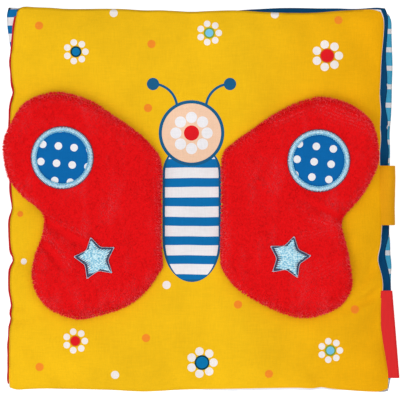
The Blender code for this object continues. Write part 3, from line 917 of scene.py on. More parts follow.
LEAF_ONE_CORNERS = ((19, 12.4), (385, 8.4), (386.6, 387), (19, 387))
LEAF_ONE_RIGHT = ((385, 8.4), (387.4, 11.4), (388, 16.4), (388, 26.4), (387, 40.7),
                  (385.9, 59.3), (386.9, 69.3), (387.3, 90.7), (385.4, 108), (388, 119.3),
                  (387.3, 140.7), (389, 148), (388, 162), (388.6, 190), (389.2, 226), (389, 236),
                  (385.9, 247), (384.8, 255), (387, 264), (389.2, 273), (391.1, 288), (391, 300),
                  (390, 330), (389, 360), (388.6, 380), (386.6, 387))
LEAF_ONE_TOP = ((19, 12.4), (22, 11.6), (60, 12), (120, 12), (180, 13), (225, 12), (240, 10.2),
                (260, 9), (280, 8), (300, 8), (320, 8.4), (340, 8.4), (352, 9), (368, 8.2),
                (378, 7.4), (385, 8.4))
LEAF_TWO_CORNERS = ((19, 15), (388.6, 14.4), (389, 386.5), (19, 386))
LEAF_TWO_RIGHT = ((388.6, 14.4), (391.2, 17.5), (391.6, 23), (391.6, 34), (392.3, 55),
                  (392.6, 66), (392, 84), (391.6, 105), (390.9, 119), (389.6, 133.6),
                  (390.1, 148), (389.9, 160), (388.6, 190), (388.6, 226), (389.6, 236),
                  (390.3, 245), (390.3, 254), (391.8, 266), (391.1, 273), (391.3, 300),
                  (391.5, 340), (391, 376), (389, 386.5))
BACK_CORNERS = ((8.6, 7.6), (388, 14), (389, 388), (12, 387))
BACK_TOP = ((8.6, 7.6), (13, 7.4), (24, 9), (60, 12), (200, 14.5), (300, 15), (388, 14))
BACK_LEFT = ((8.6, 7.6), (7.2, 11), (7, 22), (8.2, 34), (10.6, 48), (13, 60), (13, 100),
             (12.6, 150), (13, 200), (13, 250), (13, 300), (12.4, 350), (12, 380), (12, 387))


NAVY_FIRST_DOT = (0.0, 4.0 * MM)
# How far the lining bulges past its seam, and how that varies from place to place
FORE_SPILL = 0.15 * MM
FOOT_SPILL = 1.7 * MM
SPILL_PATCH = 13 * MM
SPILL_SWING = 0.7
# Where along the foot it shows, in pixels, and how much of it
SPILL_SPAN = (198, 214, 330, 344)
SPILL_SHARES = (0.1, 1, 1, 0.1)


def lining_spill(flat):
    """How far the cover's lining shows past its seam: least at the fore-edge."""
    px = to_pixels(flat)[:, 0]
    uneven = 1 + SPILL_SWING * soft_noise(flat, SPILL_PATCH, seed=2.0)
    share = np.interp(px, SPILL_SPAN, SPILL_SHARES)
    return FORE_SPILL * uneven, FOOT_SPILL * uneven * share


# The room round the strap's end in the back cover, as the solids have it
POCKET_ROOM = 2.5 * MM
POCKET_SLOPE = 3.0 * MM
# How far the cloth lies off the loop tape sewn to it, and off the seam
POCKET_GAP = 0.05 * MM


def press_pocket(places, seam):
    """The back cover's underside, lifted over the strap's end and its two tapes."""
    low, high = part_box("closure_strap_end")
    before_tip = np.maximum(low.x - POCKET_ROOM - places[:, 0], 0)
    off_middle = np.abs(places[:, 1] - (low.y + high.y) / 2)
    beside = np.maximum(off_middle - (high.y - low.y) / 2 - POCKET_ROOM, 0)
    share = np.clip(1 - np.hypot(before_tip, beside) / POCKET_SLOPE, 0, 1)
    roof = np.minimum((high_of("loop_tape") + POCKET_GAP) * share, seam - POCKET_GAP)
    under = places[:, 2] < seam
    places[:, 2] = np.where(under, np.maximum(places[:, 2], roof), places[:, 2])
    return places


def make_covers():
    cover = pillow("front_cover", COVER_SIDES,
                   (low_of("front_cover_lining"), FRONT_SEAM, COVER_TOP),
                   (cotton("cotton_flower_print", paint_cover),
                    cotton("cotton_lining_print",
                           paint_dots(WHITE, (SKY, PALE_BLUE), spacing=16 * MM, radius=1.4 * MM))),
                   seed=3, folds=COVER_FOLDS, spill=lining_spill)
    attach(cover, "front_cover")
    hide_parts("front_cover_panel", "front_cover_lining", "front_cover_wadding",
                "front_cover_crinkle_film")

    low, high = low_of("leaf_one_back_panel"), high_of("leaf_one_front_panel")
    seam = (low + high) / 2
    leaf = pillow("leaf_one",
                  leaf_sides(LEAF_ONE_CORNERS, seam, seed=50, right=LEAF_ONE_RIGHT,
                             top=LEAF_ONE_TOP),
                  (low, seam, high),
                  (cotton("cotton_navy_dots",
                          paint_dots(NAVY, (SKY, WHITE), spacing=19 * MM, radius=1.5 * MM,
                                     first=NAVY_FIRST_DOT)),
                   cotton("cotton_pale_dots",
                          paint_dots(PALE_BLUE, (WHITE, SKY), spacing=22 * MM, radius=2.6 * MM))),
                  seed=7)
    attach(leaf, "leaf_one")
    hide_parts("leaf_one_front_panel", "leaf_one_back_panel", "leaf_one_wadding",
                "leaf_one_crinkle_film")

    low, high = low_of("leaf_two_back_panel"), high_of("leaf_two_front_panel")
    seam = (low + high) / 2
    leaf = pillow("leaf_two",
                  leaf_sides(LEAF_TWO_CORNERS, seam, seed=60, right=LEAF_TWO_RIGHT),
                  (low, seam, high),
                  (cotton("cotton_teal_dashes", paint_dashes),
                   cotton("cotton_yellow_dots",
                          paint_dots(YELLOW_LEFT, (PRINT_ORANGE, WARM_WHITE),
                                     spacing=24 * MM, radius=1.8 * MM))),
                  seed=11)
    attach(leaf, "leaf_two")
    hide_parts("leaf_two_front_panel", "leaf_two_back_panel", "leaf_two_wadding")

    striped = cotton("cotton_stripes", paint_stripes)
    back = pillow("back_cover",
                  leaf_sides(BACK_CORNERS, BACK_SEAM, seed=70, left=BACK_LEFT, top=BACK_TOP),
                  (low_of("back_cover_panel"), BACK_SEAM, high_of("back_cover_lining")),
                  (striped, striped), seed=17, pocket=True)
    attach(back, "back_cover")
    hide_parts("back_cover_panel", "back_cover_lining", "back_cover_wadding",
                "back_cover_crinkle_film")


# Plush wings

WING_CELLS = 48
WING_LOW = low_of("left_wing_backing")
WING_HIGH = high_of("left_wing_plush")
WING_SEAM_RISE = 1.3 * MM
WING_CROWN_REACH = 5.5 * MM
# How high the loose side curls, and how far from the hinge it does
CURL = 1.1 * MM
CURL_REACH = 72 * MM
# The room left for the pile, and how the cushion swells from place to place
PILE_ROOM = 0.6 * MM
CUSHION_SWING = 0.35 * MM
CUSHION_PATCH = 11 * MM
BACKING_REACH = 3 * MM
SKIN_INSET = 0.9 * MM
PILE_LENGTH = 1.15 * MM
PILE_WIDTH = 0.22 * MM
PILE_COUNT = 26000
PILE_FRINGE = 3500
FRINGE_LENGTH = 1.5 * MM
# The pile's distance from the rim, how deep a tuft is rooted, and the width of rim
# along which tufts turn outward
PILE_INSET = 0.1 * MM
ROOT_DEPTH = 0.25 * MM
FRINGE_DEPTH = 0.4 * MM
TURNING_RIM = 4 * MM
RIM_PULL = 1.4
TUFT_RISE = 0.75
RIM_DROOP = 0.5
# How much tufts differ: in lean, rise, length and width
LEAN_SPREAD, RISE_SPREAD = 0.28, 0.12
LENGTH_RANGE, WIDTH_RANGE = (0.7, 1.15), (0.7, 1.2)
# The fringe's tufts: start as a share of the seam's rise, spread, rise and length
FRINGE_START, FRINGE_SPREAD = (0.5, 1.5), 0.3
FRINGE_RISE, FRINGE_RANGE = (-0.1, 0.5), (0.5, 1.0)
# The clumps of brushed pile, and the rim on which a painted highlight makes it paler
CLUMP = 1.4 * MM
CLUMP_LEVEL, CLUMP_SWING = 0.4, 2.6
RIM_LEVEL, RIM_SWING, RIM_LEAST = 0.8, 1.2, 0.3
PATCH_START, PATCH_SHARE, BRUSHED_LEAST = 0.2, 0.4, 0.3
TIP_SHADES, FRINGE_SHADES = (0.5, 1), (0.0, 0.3)
LOWEST_RISE = 0.1
BRUSHED_PATCH = 9 * MM
# How far in from the rim the painted highlight reaches
RIM_HIGHLIGHT_REACH = 4.5 * MM
# The depth of fold at which painted shade darkens the pile fully
FULL_FOLD_SHADE_DEPTH = 2.2 * MM
PATCH_KEEP_CLEAR = 13.2 * MM
STAR_KEEP_CLEAR = 0.4 * MM
OUTLINE_STEPS = 6

# Each wing's outline in pixels, clockwise, its four corners and its soft folds
LEFT_OUTLINE = (
    (51, 91.6), (71, 93), (94, 101), (115, 115), (138, 131), (157, 150.5), (163, 167),
    (163, 200), (163, 245), (164, 262.5), (161, 272), (147, 292), (128, 307), (102, 316),
    (76.5, 320), (51, 311), (37, 296), (31, 276.5), (34, 255), (41, 236), (43, 217), (35, 207),
    (22, 197), (8, 179), (3, 159), (3, 140), (13, 117), (27, 100))
LEFT_CORNERS = ((18, 108), (160, 157), (162, 270), (42, 303))
LEFT_FOLDS = (((42, 217), (86, 244), 3.0 * MM, 4.5), ((42, 240), (62, 264), 2.0 * MM, 4),
              ((152, 150), (158, 215), 0.9 * MM, 5))
# Where the pile looks paler, partly real brushed streaks and partly painted highlights along rims
# and fold ridges: from, to, how much, half width in pixels
LEFT_BRUSHES_AND_HIGHLIGHTS = (((43, 215), (84, 235), 1.0, 4.0), ((43, 228), (70, 266), 1.0, 4.0),
                ((155, 150), (161, 262), 0.8, 5), ((60, 95), (118, 118), 0.6, 4))
RIGHT_OUTLINE = (
    (321, 96), (347, 102), (367, 115), (376, 130), (380, 153), (377, 170), (366, 191),
    (357, 203), (343, 221), (346, 240), (350, 257), (353, 282), (348, 298), (334, 311),
    (306, 319), (276, 312), (241, 293), (225.5, 276.5), (219, 261), (219, 238), (220, 200),
    (221, 157), (233, 142), (251, 129), (271, 115), (296, 102))
RIGHT_CORNERS = ((223, 152), (368, 116), (346, 301), (224, 274))
RIGHT_FOLDS = (((346, 219), (300, 195), 2.8 * MM, 4.5), ((345, 250), (322, 268), 1.1 * MM, 6),
               ((258, 184), (268, 202), 1.4 * MM, 5),
               ((229, 160), (225, 225), 0.9 * MM, 5))
RIGHT_BRUSHES_AND_HIGHLIGHTS = (((341, 226), (310, 218), 1.0, 3.5), ((243, 165), (268, 206), 0.35, 8),
                 ((322, 106), (366, 122), 1.0, 9),
                 ((300, 235), (345, 228), 0.5, 6), ((305, 275), (335, 262), 0.6, 9),
                 ((226, 160), (223, 262), 0.7, 5), ((275, 122), (300, 112), 0.7, 5))
# The combed lines' spacing, and how they wander
COMB_PITCH = 1.5 * MM
COMB_WANDER, COMB_PATCH = 0.5 * MM, 6 * MM


def combed(points, brushes):
    """How far the pile is brushed up or painted lighter as a highlight: fine lines that run along
    each stroke.
    """
    share = np.zeros(len(points))
    for start, end, strength, width_px in brushes:
        a, b = np.array(at(*start)), np.array(at(*end))
        run = (b - a) / np.linalg.norm(b - a)
        along = np.clip((points - a) @ run, 0, np.linalg.norm(b - a))
        gap = np.linalg.norm(points - (a + along[:, None] * run), axis=1)
        side = (points - a) @ np.array([-run[1], run[0]])
        side += COMB_WANDER * soft_noise(points, COMB_PATCH, seed=4.0)
        lines = 0.5 + 0.5 * np.cos(2 * np.pi * side / COMB_PITCH)
        share += strength * np.exp(-(gap / (width_px * PIXEL)) ** 2) * lines
    return np.clip(share, 0, 1)


def closed_line(points):
    """A smooth closed line through given points, in metres."""
    count = len(points)
    steps = np.arange(-2, count + 3)
    loop = np.array(points, float)[steps % count]
    t = np.arange(count * OUTLINE_STEPS) / OUTLINE_STEPS
    return np.stack(at(*(through(steps, loop[:, i])(t) for i in (0, 1))), 1)


def inside_distance(points, line):
    """How far each point lies inside a closed line; negative outside it."""
    after = np.roll(line, -1, 0)
    best = np.full(len(points), 1e9)
    crossings = np.zeros(len(points), int)
    for a, b in zip(line, after):
        run = b - a
        best = np.minimum(best, off_line(points, a, b)[0])
        spans = (a[1] > points[:, 1]) != (b[1] > points[:, 1])
        slope = run[0] / run[1] if run[1] else 0.0
        crossings += spans & (points[:, 0] < a[0] + (points[:, 1] - a[1]) * slope)
    return np.where(crossings % 2 == 1, best, -best)


class Wing:
    """One wing's outline, and the height of its plush at any place."""

    def __init__(self, side, outline, corners, folds, brushes, sewn_px):
        self.side = side
        self.brushes = brushes
        self.full = closed_line(outline)
        ahead = np.roll(self.full, -1, 0) - np.roll(self.full, 1, 0)
        inward = np.stack([ahead[:, 1], -ahead[:, 0]], 1)
        inward /= np.linalg.norm(inward, axis=1)[:, None]
        self.outward = -inward
        self.skin = self.full + inward * SKIN_INSET
        self.folds = folds
        self.sewn_x = at(sewn_px, 0)[0]
        self.corners = [int(np.argmin(np.linalg.norm(self.full - np.array(at(*c)), axis=1)))
                        for c in corners]

    def sides(self):
        """The four sides between the corners, in pixels, for lay_sheet."""
        spots = to_pixels(self.skin)
        count = len(spots)

        def run(start, end):
            length = (end - start) % count
            return spots[[(start + i) % count for i in range(length + 1)]].tolist()
        top_left, top_right, foot_right, foot_left = self.corners
        left = run(foot_left, top_left)[::-1]
        bottom = run(foot_right, foot_left)[::-1]
        return left, run(top_right, foot_right), run(top_left, top_right), bottom

    def lift(self, points):
        """The loose side curls a little off the cover."""
        out = np.clip(np.abs(points[:, 0] - self.sewn_x) / CURL_REACH, 0, 1)
        return CURL * out ** 3

    def height(self, points):
        share = np.clip(inside_distance(points, self.skin) / WING_CROWN_REACH, 0, 1)
        rise = np.sqrt(1 - (1 - share) ** 2)
        base = WING_LOW + WING_SEAM_RISE
        top = WING_HIGH - PILE_ROOM
        swing = CUSHION_SWING * soft_noise(points, CUSHION_PATCH, seed=1.0) * rise
        return base + (top - base) * rise + swing - pressed(points, self.folds) + self.lift(points)

    def over(self, spot, rise):
        """The place at the given rise over the plush."""
        return (*spot, self.height(spot[None])[0] + rise)


# How far the pile's lean turns, in radians, over broad and over fine patches
LEAN_BROAD, LEAN_BROAD_PATCH = 1.9, 16 * MM
LEAN_FINE, LEAN_FINE_PATCH = 0.9, 5 * MM


def lean_field(points, seed):
    """Which way the pile is brushed: mostly down the page, wandering from place to place."""
    angle = -math.pi / 2 + LEAN_BROAD * soft_noise(points, LEAN_BROAD_PATCH, seed)
    angle += LEAN_FINE * soft_noise(points, LEAN_FINE_PATCH, seed + 3)
    return np.stack([np.cos(angle), np.sin(angle)], 1)


def grow_tufts(wing, covered, random, seed):
    """The pile that stands on a wing's face: its spots and depths, roots and tips."""
    low, high = wing.skin.min(0), wing.skin.max(0)
    spots = random.uniform(low, high, (PILE_COUNT * 2, 2))
    spots = spots[inside_distance(spots, wing.skin) > PILE_INSET]
    spots = spots[~covered(spots)][:PILE_COUNT]
    depth = inside_distance(spots, wing.skin)
    roots = np.column_stack([spots, wing.height(spots) - ROOT_DEPTH])
    near_edge = np.clip(1 - depth / TURNING_RIM, 0, 1)
    apart = np.linalg.norm(spots[:, None, :] - wing.skin[None, ::3, :], axis=2)
    outward = wing.outward[::3][np.argmin(apart, axis=1)]
    way = lean_field(spots, 5.0 + seed) * (1 - near_edge)[:, None]
    way += outward * near_edge[:, None] * RIM_PULL
    way += random.normal(0, LEAN_SPREAD, way.shape)
    up = TUFT_RISE - RIM_DROOP * near_edge + random.normal(0, RISE_SPREAD, len(way))
    lengths = PILE_LENGTH * random.uniform(*LENGTH_RANGE, len(way))
    arrow = np.column_stack([way, np.clip(up, LOWEST_RISE, 1)])
    arrow /= np.linalg.norm(arrow, axis=1)[:, None]
    return spots, depth, roots, roots + arrow * lengths[:, None]


def grow_fringe(wing, random):
    """The pile that stands out from a wing's rim: its roots and tips."""
    place = random.integers(0, len(wing.skin), PILE_FRINGE)
    slide = random.uniform(-1, 1, PILE_FRINGE)[:, None]
    along = (np.roll(wing.skin, -1, 0) - wing.skin)[place]
    spots = wing.skin[place] + along * slide
    start = WING_LOW + WING_SEAM_RISE * random.uniform(*FRINGE_START, PILE_FRINGE)
    roots = np.column_stack([spots - wing.outward[place] * FRINGE_DEPTH,
                             start + wing.lift(spots)])
    way = np.column_stack([
        wing.outward[place] + random.normal(0, FRINGE_SPREAD, (PILE_FRINGE, 2)),
        random.uniform(*FRINGE_RISE, PILE_FRINGE)])
    way /= np.linalg.norm(way, axis=1)[:, None]
    lengths = FRINGE_LENGTH * random.uniform(*FRINGE_RANGE, PILE_FRINGE)
    return roots, roots + way * lengths[:, None]


def tip_tone_with_painted_light(wing, spots, depth, seed):
    """How far the pile is brushed up or painted lighter as a highlight, or below 0 where painted
    shade darkens a fold.
    """
    patches = soft_noise(spots, BRUSHED_PATCH, seed + 8.0)
    clumps = np.clip(CLUMP_LEVEL + CLUMP_SWING * soft_noise(spots, CLUMP, seed + 12.0), 0, 1)
    # Painted highlight: the pile is paler along the rim, where its tufts would shade darker
    rims = np.clip(1 - depth / RIM_HIGHLIGHT_REACH, 0, 1)
    rims *= np.clip(RIM_LEVEL + RIM_SWING * patches, RIM_LEAST, 1)
    brushed_and_painted_light = rims * (BRUSHED_LEAST + clumps)
    brushed_and_painted_light += np.clip(patches - PATCH_START, 0, 1) * PATCH_SHARE * clumps
    brushed_and_painted_light += combed(spots, wing.brushes)
    # Painted shade: where a fold presses in, the tips turn deeper
    return np.clip(np.clip(brushed_and_painted_light, 0, 1) - pressed(spots, wing.folds) / FULL_FOLD_SHADE_DEPTH, -1, 1)


def make_pile(wing, covered, seed, material):
    """A wing's pile and fringe, and how its tips are coloured."""
    random = np.random.default_rng(seed)
    spots, depth, roots, tips = grow_tufts(wing, covered, random, seed)
    fringe_roots, fringe_tips = grow_fringe(wing, random)
    tips = np.vstack([tips, fringe_tips])
    # No tip reaches past the hinge, where it would dip into the cover
    low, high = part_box(f"{wing.side}_wing_plush")
    if wing.side == "left":
        tips[:, 0] = np.minimum(tips[:, 0], high.x)
    else:
        tips[:, 0] = np.maximum(tips[:, 0], low.x)
    shade = tip_tone_with_painted_light(wing, spots, depth, seed) * random.uniform(*TIP_SHADES, len(spots))
    shade = np.concatenate([shade, random.uniform(*FRINGE_SHADES, PILE_FRINGE)])
    roots = np.vstack([roots, fringe_roots])
    return tuft_mesh(f"{wing.side}_tufts", roots, tips, shade, random, material)


def tuft_mesh(name, roots, tips, brushed_and_painted_light, random, material):
    """One closed three-sided spike for each tuft."""
    run = tips - roots
    run /= np.linalg.norm(run, axis=1)[:, None]
    side = np.cross(run, random.normal(0, 1, run.shape))
    side /= np.linalg.norm(side, axis=1)[:, None]
    other = np.cross(run, side)
    count = len(roots)
    width = PILE_WIDTH * random.uniform(*WIDTH_RANGE, count)[:, None]
    corners = []
    for turn in (0, 2 * math.pi / 3, 4 * math.pi / 3):
        corners.append(roots + width * (math.cos(turn) * side + math.sin(turn) * other))
    places = np.stack([*corners, tips], 1).reshape(-1, 3)
    first = np.arange(count)[:, None] * 4
    faces = np.concatenate([first + np.array(face) for face in (
        (0, 1, 3), (1, 2, 3), (2, 0, 3), (2, 1, 0))])
    mesh = bpy.data.meshes.new(name)
    mesh.from_pydata(places.tolist(), [], faces.tolist())
    mesh.update()
    shares = np.zeros((count, 4))
    shares[:, 3] = brushed_and_painted_light
    mesh.attributes.new(BRUSHED_AND_PAINTED_LIGHT, "FLOAT", "POINT").data.foreach_set("value", shares.ravel())
    made = new_object(name, mesh)
    made.data.materials.append(material)
    return made


def make_wing(wing, covered, seed, skin, backing, pile):
    """A plush pad: its cushion with a backing cloth, and the pile that stands on it."""
    halves = []
    sides = wing.sides()
    for sign, cloth in ((1, skin), (-1, backing)):
        sheet, column, row = lay_sheet(sides, WING_CELLS)
        flat = get_places(sheet)
        spots = flat[:, :2]
        rim = (column % WING_CELLS == 0) | (row % WING_CELLS == 0)
        edge_z = WING_LOW + WING_SEAM_RISE + wing.lift(spots)
        if sign > 0:
            z = np.where(rim, edge_z, wing.height(spots))
        else:
            near = np.clip(inside_distance(spots, wing.skin) / BACKING_REACH, 0, 1)
            z = np.where(rim, edge_z, edge_z - WING_SEAM_RISE * np.sqrt(near))
            edit_all(sheet, bpy.ops.mesh.flip_normals)
        flat[:, 2] = z
        set_places(sheet, flat)
        sheet.data.materials.append(cloth)
        halves.append(sheet)
    cushion = close_pad(halves, f"{wing.side}_wing_cushion")
    made = join([cushion, make_pile(wing, covered, seed, pile)], f"{wing.side}_wing")
    settle(made)
    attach(made, f"{wing.side}_wing")
    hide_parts(f"{wing.side}_wing_plush", f"{wing.side}_wing_backing",
                f"{wing.side}_wing_wadding")


# Patches and stars on the wings

PATCH_RADIUS = 11.8 * MM
RING_INNER = 11.55 * MM
RING_OUTER = 13.75 * MM
RING_STITCHES = 132
STITCH_THICK = 0.55 * MM
RING_STITCH_THICK = STITCH_THICK * 1.25
# How much the ring's stitches differ in length
RING_WOBBLE = 0.04
# The ring's outer and inner line: reach, rise over the plush, share of the thickness
RING_LINES = ((RING_OUTER + 0.05 * MM, 0.25 * MM, 0.8), (11.6 * MM, 0.95 * MM, 1.2))
# A line's stitches overlap a little where this is more than 2
LINE_OVERLAP = 2.1
# A thread's height as a share of its width, and how far its ends dip
THREAD_FLATNESS = 0.8
THREAD_DIP = 0.35
# How high the threads lie over the plush
THREAD_RISE = 0.75 * MM
# The patch: its cloth's rise over the plush, its swell, and how deep its edge goes
PATCH_RISE = 0.35 * MM
PATCH_SWELL = 0.5 * MM
PATCH_FOOT = 0.3 * MM
PATCH_WALL = 0.6 * MM
PATCH_CORNERS = 64
PATCH_RINGS = 9
# How much of a star's points and of its notches is rounded off
POINT_CUT, NOTCH_CUT = 0.06, 0.2
# What each row of the star's filling is longer by, and the shortest row that is sewn
ROW_SPARE = 1.3 * MM
SHORTEST_ROW = 1.5 * MM
STAR_RADIUS = 9.7 * MM
STAR_INNER_SHARE = 0.56
STAR_POINTS = 5
STAR_SCANS = 81
STAR_ROW_PITCH = 0.85 * MM
STAR_EDGE_PITCH = 0.55 * MM
STAR_EDGE_LENGTH = 1.0 * MM
STAR_EDGE_INSET = 1.0 * MM
STAR_RIM_INSET = 0.15 * MM
STAR_ROW_THICK = STAR_ROW_PITCH * 1.45
# The rows' angle to the star's lean, in degrees
STAR_ROW_TURN = 20
# The star's two edge lines: how far in, each stitch's turn and length, then
# thickness as a share of the pitch, and rise over the plush
STAR_LINES = ((STAR_EDGE_INSET, math.pi / 2 + 0.25, STAR_EDGE_LENGTH, 1.15, 0.9 * MM),
              (STAR_RIM_INSET, 0.12, 1.5 * STAR_EDGE_PITCH, 0.75, 0.6 * MM))


def stitch(length, thick):
    """One raised thread lying along X, its ends drawn down into the cloth."""
    free_all()
    bpy.ops.mesh.primitive_uv_sphere_add(segments=6, ring_count=6, radius=0.5)
    made = bpy.context.object
    places = get_places(made)
    lying = np.stack([places[:, 2] * length, places[:, 0] * thick,
                      places[:, 1] * thick * THREAD_FLATNESS], 1)
    lying[:, 2] -= THREAD_DIP * thick * (2 * lying[:, 0] / length) ** 2
    set_places(made, lying)
    edit_all(made, bpy.ops.mesh.normals_make_consistent, inside=False)
    bpy.ops.object.shade_smooth()
    return made


def sew(name, stitches, thick, material):
    """A run of stitches, each with its middle, the way it points and its length."""
    model = stitch(MM, thick)
    rows = []
    for middle, angle, length in stitches:
        one = model.copy()
        one.data = model.data.copy()
        bpy.context.scene.collection.objects.link(one)
        one.location = middle
        one.rotation_euler = (0, 0, angle)
        one.scale = (length / MM, 1, 1)
        rows.append(one)
    bpy.data.objects.remove(model)
    bpy.context.view_layer.update()
    made = join(rows, name)
    settle(made)
    made.data.materials.clear()
    made.data.materials.append(material)
    return made


def dome_disc(name, middle, radius, wing, material):
    """A round cotton patch that follows the wing and swells a little."""
    free_all()
    bpy.ops.mesh.primitive_circle_add(vertices=PATCH_CORNERS, radius=radius, fill_type="NGON",
                                      location=(*middle, 0))
    made = bpy.context.object
    settle(made)
    bpy.ops.object.mode_set(mode="EDIT")
    bpy.ops.mesh.select_all(action="SELECT")
    bpy.ops.mesh.extrude_region_move(TRANSFORM_OT_translate={"value": (0, 0, PATCH_WALL)})
    for _ in range(PATCH_RINGS):
        bpy.ops.mesh.inset(thickness=radius / (PATCH_RINGS + 1), depth=0.0)
    bpy.ops.object.mode_set(mode="OBJECT")
    places = get_places(made)
    upper = places[:, 2] > PATCH_WALL / 2
    spots = places[:, :2]
    reach = np.linalg.norm(spots - np.array(middle), axis=1) / radius
    level = wing.height(spots)
    swell_up = PATCH_SWELL * np.sqrt(np.clip(1 - reach ** 2, 0, 1))
    places[:, 2] = np.where(upper, level + PATCH_RISE + swell_up, level - PATCH_FOOT)
    set_places(made, places)
    made.name = name
    made.data.materials.append(material)
    shade_by_angle(made)
    return made


def make_patch(wing, middle_px, materials):
    dots, satin, dark, bright = materials
    middle = np.array(at(*middle_px))
    patch = dome_disc(f"{wing.side}_dot_patch_cloth", middle, PATCH_RADIUS, wing, dots)
    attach(patch, f"{wing.side}_wing")
    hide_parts(f"{wing.side}_dot_patch")
    runs = []
    for i in range(RING_STITCHES):
        angle = 2 * math.pi * i / RING_STITCHES
        spot = middle + (RING_INNER + RING_OUTER) / 2 * toward(angle)
        wobble = 1 + RING_WOBBLE * math.sin(i * 2.4)
        runs.append((wing.over(spot, THREAD_RISE), angle, (RING_OUTER - RING_INNER) * wobble))
    ring = sew(f"{wing.side}_ring_stitches", runs, RING_STITCH_THICK, satin)
    runs = [ring]
    steps = RING_STITCHES // 2
    for (reach, rise, thick), colour in zip(RING_LINES, (dark, bright)):
        rims = []
        for i in range(steps):
            angle = 2 * math.pi * i / steps
            spot = middle + reach * toward(angle)
            rims.append((wing.over(spot, rise), angle + math.pi / 2,
                         LINE_OVERLAP * math.pi * reach / steps))
        runs.append(sew(f"{wing.side}_ring_line", rims, STITCH_THICK * thick, colour))
    ring = join(runs, f"{wing.side}_patch_ring_stitches")
    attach(ring, f"{wing.side}_wing")
    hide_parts(f"{wing.side}_patch_ring")


def star_corners(middle, lean):
    spots = []
    for i in range(STAR_POINTS * 2):
        reach = STAR_RADIUS * (1 if i % 2 == 0 else STAR_INNER_SHARE)
        angle = math.radians(90 + lean) - math.pi * i / STAR_POINTS
        spots.append(middle + reach * toward(angle))
    return np.array(spots)


def rounded_star(middle, lean, inset):
    """The star's outline with its points and notches rounded off."""
    corners = star_corners(middle, lean)
    count = len(corners)
    spots = []
    for i in range(count):
        before, here, after = corners[i - 1], corners[i], corners[(i + 1) % count]
        cut = POINT_CUT if i % 2 == 0 else NOTCH_CUT
        start, end = here + cut * (before - here), here + cut * (after - here)
        for t in (0, 0.25, 0.5, 0.75, 1):
            spots.append((1 - t) ** 2 * start + 2 * t * (1 - t) * here + t * t * end)
    spots = np.array(spots)
    return middle + (spots - middle) * (1 - inset / STAR_RADIUS)


def make_star(wing, middle_px, lean, materials):
    fill, edge, rim_thread = materials
    middle = np.array(at(*middle_px))
    outline = rounded_star(middle, lean, STAR_EDGE_INSET)
    rows = []
    tilt = math.radians(lean + STAR_ROW_TURN)
    along = toward(tilt)
    aside = np.array([-along[1], along[0]])
    for k in np.arange(-STAR_RADIUS, STAR_RADIUS, STAR_ROW_PITCH):
        line = middle + aside * k
        scan = np.linspace(-STAR_RADIUS, STAR_RADIUS, STAR_SCANS)
        probes = line + along * scan[:, None]
        within = inside_distance(probes, outline) > 0
        starts = np.where(within & ~np.roll(within, 1))[0]
        ends = np.where(within & ~np.roll(within, -1))[0]
        for a, b in zip(starts, ends):
            length = scan[b] - scan[a] + ROW_SPARE
            if length < SHORTEST_ROW:
                continue
            spot = line + along * (scan[a] + scan[b]) / 2
            rows.append((wing.over(spot, THREAD_RISE), tilt, length))
    lines = [sew(f"{wing.side}_star_rows", rows, STAR_ROW_THICK, fill)]
    for (inset, turn, length, thick, rise), used in zip(STAR_LINES, (edge, rim_thread)):
        line = rounded_star(middle, lean, inset)
        runs = []
        spare = 0.0
        for a, b in zip(line, np.roll(line, -1, 0)):
            step = np.linalg.norm(b - a)
            way = (b - a) / step
            angle = math.atan2(way[1], way[0]) + turn
            while spare < step:
                spot = a + way * spare
                runs.append((wing.over(spot, rise), angle, length))
                spare += STAR_EDGE_PITCH
            spare -= step
        lines.append(sew(f"{wing.side}_star_line", runs, STAR_EDGE_PITCH * thick, used))
    star = join(lines, f"{wing.side}_star_stitches")
    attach(star, f"{wing.side}_wing")
    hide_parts(f"{wing.side}_star")


LEFT_PATCH = (62.8, 157.9)
RIGHT_PATCH = (318.3, 160.8)
# A dot's middle, the steps between dots across and down, and the rows' tilt
LEFT_DOT_ROWS = ((57.2, 163.4), (15.7, 17.3), math.radians(-6.2))
RIGHT_DOT_ROWS = ((313.6, 161.9), (17.1, 15.4), math.radians(-8.3))
# A star's middle, and its lean in degrees
LEFT_STAR = ((96.0, 258.4), 12.9)
RIGHT_STAR = ((288.7, 257.3), -13.4)
# The pixels at which the wings are sewn down
LEFT_HINGE, RIGHT_HINGE = 163, 220


